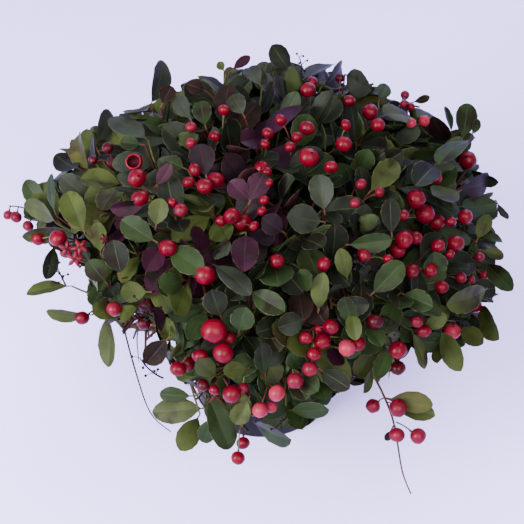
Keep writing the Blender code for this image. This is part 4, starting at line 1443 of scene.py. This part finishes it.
def grow_dry_racemes(stalks, dice):
    """Thin dark racemes that have lost their berries, with the knobs where these were."""
    for foot, tip in DRY_RACEMES:
        start, end = seen_point(foot, DRY_DEPTH * 3), seen_point(tip, -DRY_DEPTH)
        aim = (end - start).normalized()
        bend = start.lerp(end, 0.5) + dice_way(dice) * DRY_BEND
        path = bowed(start, bend, end, len(DRY_RADII))
        stalks.add(*tube(path, DRY_RADII, SHOOT_SIDES), "dry_black")
        for k in range(2, len(path)):
            outward = turned(side_of(aim), aim, GOLDEN_ANGLE * k)
            knob = path[k] + outward * dice.uniform(*DRY_TWIG_REACHES) + aim * DRY_TWIG_FORWARD
            twig_bend = path[k].lerp(knob, 0.5) + aim * DRY_TWIG_BEND
            twig = bowed(path[k], twig_bend, knob, len(DRY_TWIG_RADII))
            stalks.add(*tube(twig, DRY_TWIG_RADII, 4), "dry_black")
            way = (knob - path[k]).normalized()
            shape = [knob + way * DRY_KNOB * rise for rise in DRY_KNOB_RISES]
            stalks.add(*tube(shape, [DRY_KNOB * wide for wide in DRY_KNOB_WIDTHS], 6), "dry_black")


def grow_limbs(mass, stalks):
    """The limbs of a mass, each up to where its shoots leave it."""
    limbs = []
    for tip in mass.tips:
        bend = mass.core.lerp(tip, 0.5) - Vector((0.0, 0.0, LIMB_SAG))
        path = bowed(mass.core, bend, tip, 12)
        limbs.append((tip, path))
        stalks.add(*tube(path[:LIMB_STEPS], LIMB_RADII, 6), "twig_brown")
    return limbs


def grow_shoot(canopy, mass, limbs, tip, count, fine, stalks, dice):
    """A shoot that leaves the nearest limb of its mass and carries leaves below its tip."""
    if limbs:
        _, path = min(limbs, key=lambda limb: (limb[0] - tip).length)
        start = path[dice.choice(SHOOT_STARTS)]
    else:
        start = mass.core
    bend = start.lerp(tip, 0.55) - Vector((0.0, 0.0, SHOOT_SAG))
    outward = tip - Vector((0.0, 0.0, SHOOT_AIM_HEIGHT))
    aim = ((tip - bend).normalized() + outward.normalized()).normalized()
    path = bowed(start, bend, tip, SHOOT_STEPS)
    colour = "shoot_red" if dice.random() < RED_SHOOTS else "shoot_green"
    stalks.add(*tube(path, SHOOT_RADII, SHOOT_SIDES), colour)
    leaf_spiral(canopy, mass, tip, (bend - tip).normalized(), aim, count, fine, dice)


def grow_plant(foliage_of, stalks, berries):
    """Every limb, shoot, leaf and berry. Leaves go to the heap of their mass's group."""
    masses = plan_masses()
    canopy = Canopy(masses)
    dice = random.Random(SEED)
    limbs = {mass.name: grow_limbs(mass, stalks) for mass in masses}
    for runner in RUNNERS:
        grow_runner(canopy, masses, runner, foliage_of, stalks, dice)
    grow_dry_racemes(stalks, dice)
    feet = hang_seen_berries(canopy, stalks, dice) + hang_far_berries(canopy, stalks, dice)
    for foot in feet:
        grow_stalk(nearest_mass(masses, foot), limbs, foot, stalks, dice)
    grow_seen_leaves(canopy, masses, limbs, foliage_of, stalks, dice)
    canopy.settle_sights()
    middle = Vector((0.0, 0.0, DOME_WAIST))
    for layer in SHOOT_LAYERS:
        for tip in lattice(layer.shoots, layer.foot_angle, layer.share, FINE_BULGES):
            way = tip - middle
            reach = dice.uniform(*SHOOT_REACHES)
            while reach > SHORTEST_REACH and not in_outline(middle + way * (reach + LEAF_ALLOWANCE))[0]:
                reach -= REACH_STEP
            tip = middle + way * reach
            mass = nearest_mass(masses, tip)
            before = len(canopy.leaves)
            count = dice.choice(layer.leaves)
            grow_shoot(canopy, mass, limbs[mass.name], tip, count, layer.fine, stalks, dice)
            for leaf in canopy.leaves[before:]:
                add_leaf(foliage_of(mass), leaf)
    for berry in canopy.berries:
        add_berry(berries, berry, dice)
    print(len(canopy.leaves), "leaves and", len(canopy.berries), "berries")
    return masses


# The bark's relief: furrows that run up the stem, and knobs all round the boughs.
STEM_RINGS = 26
STEM_SIDES = 40
STEM_CAP = (0.86, 0.02)
FURROWS = 22
FURROW_BREAKS = 260
FURROW_DEPTH = 0.00055
FURROW_START = 0.2
BARK_SEAT = 0.0005
BOUGH_SIDES = 12
KNOB_SHARE = 0.16
KNOB_GRAIN = 700.0
BARK_ROUGHNESS = (0.6, 2.0, 3)
KNOT_REACH = 0.004
KNOT_SIDES = 9


def build_stem(bark):
    """The short stem, furrowed along and closed at its top."""
    heap = Heap("bark_stem", bark)
    wall_rings = STEM_RINGS - len(STEM_CAP)
    points = []
    for k in range(STEM_RINGS):
        rise = STEM_HEIGHT * min(k, wall_rings - 1) / (wall_rings - 1)
        shrink = 1.0 if k < wall_rings else STEM_CAP[k - wall_rings]
        for side in range(STEM_SIDES):
            place = Vector((side / STEM_SIDES * FURROWS, rise * FURROW_BREAKS, 3.0))
            fade = math.sin(math.pi * min(1.0, FURROW_START + rise / STEM_HEIGHT))
            ridge = FURROW_DEPTH * noise.fractal(place, *BARK_ROUGHNESS) * fade
            radius = (stem_radius(rise) - BARK_SEAT + ridge) * shrink
            points.append(around(360.0 * side / STEM_SIDES, radius, STEM_FOOT + rise))
    heap.add(np.array(points), grid_faces(STEM_RINGS, STEM_SIDES, closed=True), "bark")
    return heap.finish()


def build_boughs(masses, bark):
    """The boughs, knobbly all over, each with the knot that its mass grows from."""
    heap = Heap("bark_boughs", bark)
    for mass in masses:
        radii = np.linspace(BOUGH_FOOT_RADIUS, BOUGH_TIP_RADIUS, len(mass.path))
        points, faces = tube(mass.path, radii, BOUGH_SIDES)
        for k, point in enumerate(points):
            middle = np.array(mass.path[k // BOUGH_SIDES])
            swell = 1.0 + KNOB_SHARE * noise.fractal(Vector(point) * KNOB_GRAIN, *BARK_ROUGHNESS)
            points[k] = middle + (point - middle) * swell
        heap.add(points, faces, "bark")
        end = mass.path[-1]
        knot = (end, end.lerp(mass.core, 0.5), mass.core, mass.core + mass.end_aim * KNOT_REACH)
        heap.add(*tube(knot, KNOT_RADII, KNOT_SIDES), "bark")
    return heap.finish()


def turned_shape(profile, sides):
    """The points and faces of a (radius, height) profile turned about the middle axis.

    Where the profile ends where it began, the shape closes there.
    """
    points = []
    for radius, height in profile:
        points += [around(360.0 * k / sides, radius, height) for k in range(sides)]
    faces = grid_faces(len(profile), sides, closed=True)
    if profile[0] == profile[-1]:
        points = points[:-sides]
        faces = faces % len(points)
    return np.array(points), faces


def pot_radius(height):
    """The outer radius of the pot's tapering wall at that height."""
    return POT_FOOT_RADIUS + (POT_NECK_RADIUS - POT_FOOT_RADIUS) * height / POT_HEIGHT


def arc(middle, radius, angles):
    """(radius, height) places on an arc about a middle, with angles from the outward way."""
    across, up = middle
    return [(across + radius * math.cos(a), up + radius * math.sin(a)) for a in np.radians(angles)]


def pot_profile():
    """The section of the pot's wall, from its underside up the outside and down the inside."""
    collar = POT_HEIGHT - POT_LIP_DEPTH
    profile = [(POT_PIN, 0.0), (POT_FOOT_RADIUS * 0.5, 0.0)]
    profile += arc((POT_FOOT_RADIUS - POT_EDGE, POT_EDGE), POT_EDGE, (-90, -60, -30, 0))
    for height in np.linspace(POT_EDGE * 2, collar - POT_BAND * 3, POT_WALL_RINGS):
        profile.append((pot_radius(height), height))
    for band in POT_BANDS:
        height = collar - POT_BAND * band
        profile += arc((pot_radius(height), height), POT_BAND * POT_BAND_SWELL, (-60, 0, 60))
    profile.append((pot_radius(collar), collar - COLLAR_EDGE))
    profile.append((pot_radius(collar) + POT_LIP, collar + COLLAR_EDGE))
    lip_middle = (POT_LIP_RADIUS - POT_ROLL, POT_HEIGHT - POT_ROLL)
    profile += arc(lip_middle, POT_ROLL, (0, 30, 60, 90, 120, 150, 180))
    inner = POT_NECK_RADIUS - POT_WALL
    profile += [(inner + COLLAR_EDGE, POT_HEIGHT - LIP_FILLET[0]), (inner, POT_HEIGHT - LIP_FILLET[1])]
    profile += [(pot_radius(POT_FLOOR) - POT_WALL, POT_FLOOR), (POT_PIN, POT_FLOOR)]
    return profile


def cut_drains(pot):
    """Cuts the drain holes through the pot's floor."""
    cutters = Heap("drain_cutters", {})
    for k in range(DRAINS):
        middle = around(360.0 * (k + 0.5) / DRAINS, DRAIN_RING, 0.0)
        low, high = CUTTER_HEIGHTS
        shape = ((CUTTER_PIN, low), (DRAIN_RADIUS, low), (DRAIN_RADIUS, high), (CUTTER_PIN, high))
        points, faces = turned_shape(shape + shape[:1], CUTTER_SIDES)
        cutters.add(points + np.array(middle), faces, np.zeros(len(faces)))
    tool = cutters.finish()
    cut = pot.modifiers.new("drains", "BOOLEAN")
    cut.operation, cut.object, cut.solver = "DIFFERENCE", tool, "EXACT"
    graph = bpy.context.evaluated_depsgraph_get()
    pot.data = bpy.data.meshes.new_from_object(pot.evaluated_get(graph))
    pot.modifiers.clear()
    bpy.data.objects.remove(tool)


def build_pot(plastic):
    """The pot: a thin tapering shell with bands, a collar, a rolled lip and drain holes."""
    profile = pot_profile()
    heap = Heap("pot_shell", plastic)
    heap.add(*turned_shape(profile + profile[:1], POT_SIDES), "plastic")
    pot = heap.finish()
    cut_drains(pot)
    return pot


# The soil: an uneven bed just inside the pot, and crumbs on it, of which every twelfth is white.
SOIL_GAP = 0.0006
SOIL_RINGS = 34
SOIL_SIDES = 96
SOIL_MIDDLE = 0.01
SOIL_BUMP = 0.0022
SOIL_GRAIN = 160.0
SOIL_ROUGHNESS = (0.7, 2.0, 4)
SOIL_PLAY = 0.0012
SOIL_RIM_RINGS = 3
SOIL_WALL_DEPTH = 0.004
CRUMBS = 260
CRUMB_PLACES = (0.05, 0.94)
CRUMB_SIZES = (0.0006, 0.0019)
CRUMB_LIFT = 0.3
CRUMB_RISES = (-1.0, -0.6, 0.0, 0.6, 1.0)
CRUMB_WIDTHS = (0.1, 0.8, 1.0, 0.8, 0.1)
CRUMB_SIDES = 7
CRUMB_LUMPS = 0.5
CRUMB_GRAIN = 900.0
WHITE_CRUMBS = 12


def soil_reach(height):
    """The soil's radius at that height."""
    return pot_radius(height) - POT_WALL - SOIL_GAP


def soil_crumb(number, dice):
    """The points and faces of one lumpy crumb that lies on the soil."""
    radius = math.sqrt(dice.uniform(*CRUMB_PLACES)) * soil_reach(SOIL_TOP)
    size = dice.uniform(*CRUMB_SIZES)
    middle = around(dice.uniform(0, 360), radius, SOIL_TOP + size * CRUMB_LIFT)
    path = [middle + Vector((0, 0, size * rise)) for rise in CRUMB_RISES]
    points, faces = tube(path, [size * width for width in CRUMB_WIDTHS], CRUMB_SIDES)
    own = Vector((number, 0, 0))
    lumps = [1.0 + CRUMB_LUMPS * noise.noise(Vector(p) * CRUMB_GRAIN + own) for p in points]
    return np.array(middle) + (points - np.array(middle)) * np.array(lumps)[:, None], faces


def build_soil(earth, dice):
    """The peat in the pot: an uneven bed with crumbs and a few white grains."""
    bed = Heap("soil_bed", earth)
    points = []
    for k in range(SOIL_RINGS):
        radius = soil_reach(SOIL_TOP) * max(k, SOIL_MIDDLE) / (SOIL_RINGS - 1)
        for side in range(SOIL_SIDES):
            place = around(360.0 * side / SOIL_SIDES, radius, 0.0)
            bump = SOIL_BUMP * noise.fractal(place * SOIL_GRAIN, *SOIL_ROUGHNESS)
            height = SOIL_TOP - SOIL_PLAY + bump * min(1.0, (SOIL_RINGS - 1 - k) / SOIL_RIM_RINGS)
            points.append(Vector((place.x, place.y, min(height, SOIL_TOP + SOIL_PLAY))))
    for height in (SOIL_TOP - SOIL_WALL_DEPTH, POT_FLOOR + SOIL_GAP):
        for side in range(SOIL_SIDES):
            points.append(around(360.0 * side / SOIL_SIDES, soil_reach(height), height))
    bed.add(np.array(points), grid_faces(SOIL_RINGS + 2, SOIL_SIDES, closed=True)[:, ::-1], "peat")
    for k in range(CRUMBS):
        bed.add(*soil_crumb(k, dice), "perlite" if k % WHITE_CRUMBS == 0 else "peat")
    return bed.finish()


# The floor, which curves up into a backdrop.
FLOOR_FRONT = -3.0
FLOOR_HALF_WIDTH = 3.5
COVE_START = 1.2
COVE_RADIUS = 1.2
COVE_ANGLES = np.linspace(0.1, 1.57, 14)
BACKDROP_HEIGHT = 3.2

Light = namedtuple("Light", "name place target size power colour")
LIGHTS = (
    Light("key", (-0.95, -0.85, 1.1), (-0.25, -0.2, 0.0), 1.0, 46.0, (0.96, 0.96, 1.0)),
    Light("window", (-0.80, -0.65, 0.5), (-0.3, -0.4, 0.0), 0.5, 40.0, (0.96, 0.95, 1.0)),
    Light("fill", (0.35, -1.3, 1.15), (0.05, 0.0, 0.1), 1.2, 66.0, (1.0, 0.94, 0.90)),
    Light("back", (0.5, 1.1, 1.3), (0.0, 0.0, 0.15), 1.2, 30.0, (0.90, 0.93, 1.0)),
)
SKY_COLOUR = (0.86, 0.87, 1.0, 1.0)
SKY_STRENGTH = 1.45
NEAREST_SEEN = 0.01


def build_stage():
    """A pale floor that curves up into a backdrop."""
    profile = [(FLOOR_FRONT, 0.0), (COVE_START, 0.0)]
    for angle in COVE_ANGLES:
        rise = COVE_RADIUS - COVE_RADIUS * math.cos(angle)
        profile.append((COVE_START + COVE_RADIUS * math.sin(angle), rise))
    profile.append((COVE_START + COVE_RADIUS, BACKDROP_HEIGHT))
    points = [(x, y, z) for y, z in profile for x in (-FLOOR_HALF_WIDTH, FLOOR_HALF_WIDTH)]
    heap = Heap("floor", {"floor": surface("floor", FLOOR_FINISH)})
    heap.add(np.array(points), grid_faces(len(profile), 2)[:, ::-1], "floor")
    heap.finish()


def point_at(name, data, place, aim):
    """A light or camera at a place, facing along aim."""
    made = bpy.data.objects.new(name, data)
    made.location = place
    made.rotation_mode = "QUATERNION"
    made.rotation_quaternion = aim.to_track_quat("-Z", "Y")
    bpy.context.scene.collection.objects.link(made)
    return made


def build_light_and_camera():
    """Soft light from all round with a broad one from the left front, and the camera."""
    world = bpy.data.worlds.new("soft_room")
    world.use_nodes = True
    sky = world.node_tree.nodes["Background"]
    sky.inputs["Color"].default_value = SKY_COLOUR
    sky.inputs["Strength"].default_value = SKY_STRENGTH
    bpy.context.scene.world = world
    for each in LIGHTS:
        light = bpy.data.lights.new(each.name, "AREA")
        light.shape = "DISK"
        light.size, light.energy, light.color = each.size, each.power, each.colour
        point_at(each.name, light, each.place, Vector(each.target) - Vector(each.place))
    camera = bpy.data.cameras.new("camera")
    camera.lens = camera.sensor_width * CAMERA_DISTANCE / (2 * FRAME_HALF_WIDTH)
    camera.clip_start = NEAREST_SEEN
    bpy.context.scene.camera = point_at("camera", camera, VIEW_EYE, -VIEW_BACK)


def group_of(mass):
    """The part of the crown that a mass belongs to."""
    if mass.ring.name in ("crown", "upper"):
        return "foliage_top_back" if 90 < mass.azimuth < 270 else "foliage_top_front"
    sides = ("foliage_front", "foliage_right", "foliage_back", "foliage_left")
    return sides[int((mass.azimuth + 45) % 360 // 90)]


def ride_and_replace(piece, nodes):
    """Puts the piece on the one body, and hides the nodes that it stands for."""
    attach(piece, "root")
    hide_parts(*nodes)


def main():
    """Builds every piece, in the order in which the random source is used."""
    leaf_looks = surfaces({**LEAF_FINISHES, **SMALL_FINISHES})
    wood = surfaces(WOOD_FINISHES)
    heaps = {}

    def foliage_of(mass):
        name = group_of(mass)
        if name not in heaps:
            heaps[name] = Heap(name, leaf_looks)
        return heaps[name]

    stalks = Heap("shoots", wood)
    berries = Heap("berries", surfaces(BERRY_FINISHES))
    masses = grow_plant(foliage_of, stalks, berries)
    every_mass = [f"leaves_{mass.name}" for mass in masses]
    for name, heap in heaps.items():
        own = [f"leaves_{mass.name}" for mass in masses if group_of(mass) == name]
        ride_and_replace(heap.finish(), own)
    ride_and_replace(stalks.finish(), every_mass)
    ride_and_replace(berries.finish(), every_mass)
    bark = {"bark": wood["bark"]}
    ride_and_replace(build_stem(bark), ["stem"])
    ride_and_replace(build_boughs(masses, bark), [f"bough_{mass.name}" for mass in masses])
    ride_and_replace(build_pot({"plastic": surface("pot_plastic", POT_FINISH)}), ["pot"])
    ride_and_replace(build_soil(surfaces(SOIL_FINISHES), random.Random(SEED)), ["soil"])
    build_stage()
    build_light_and_camera()


main()
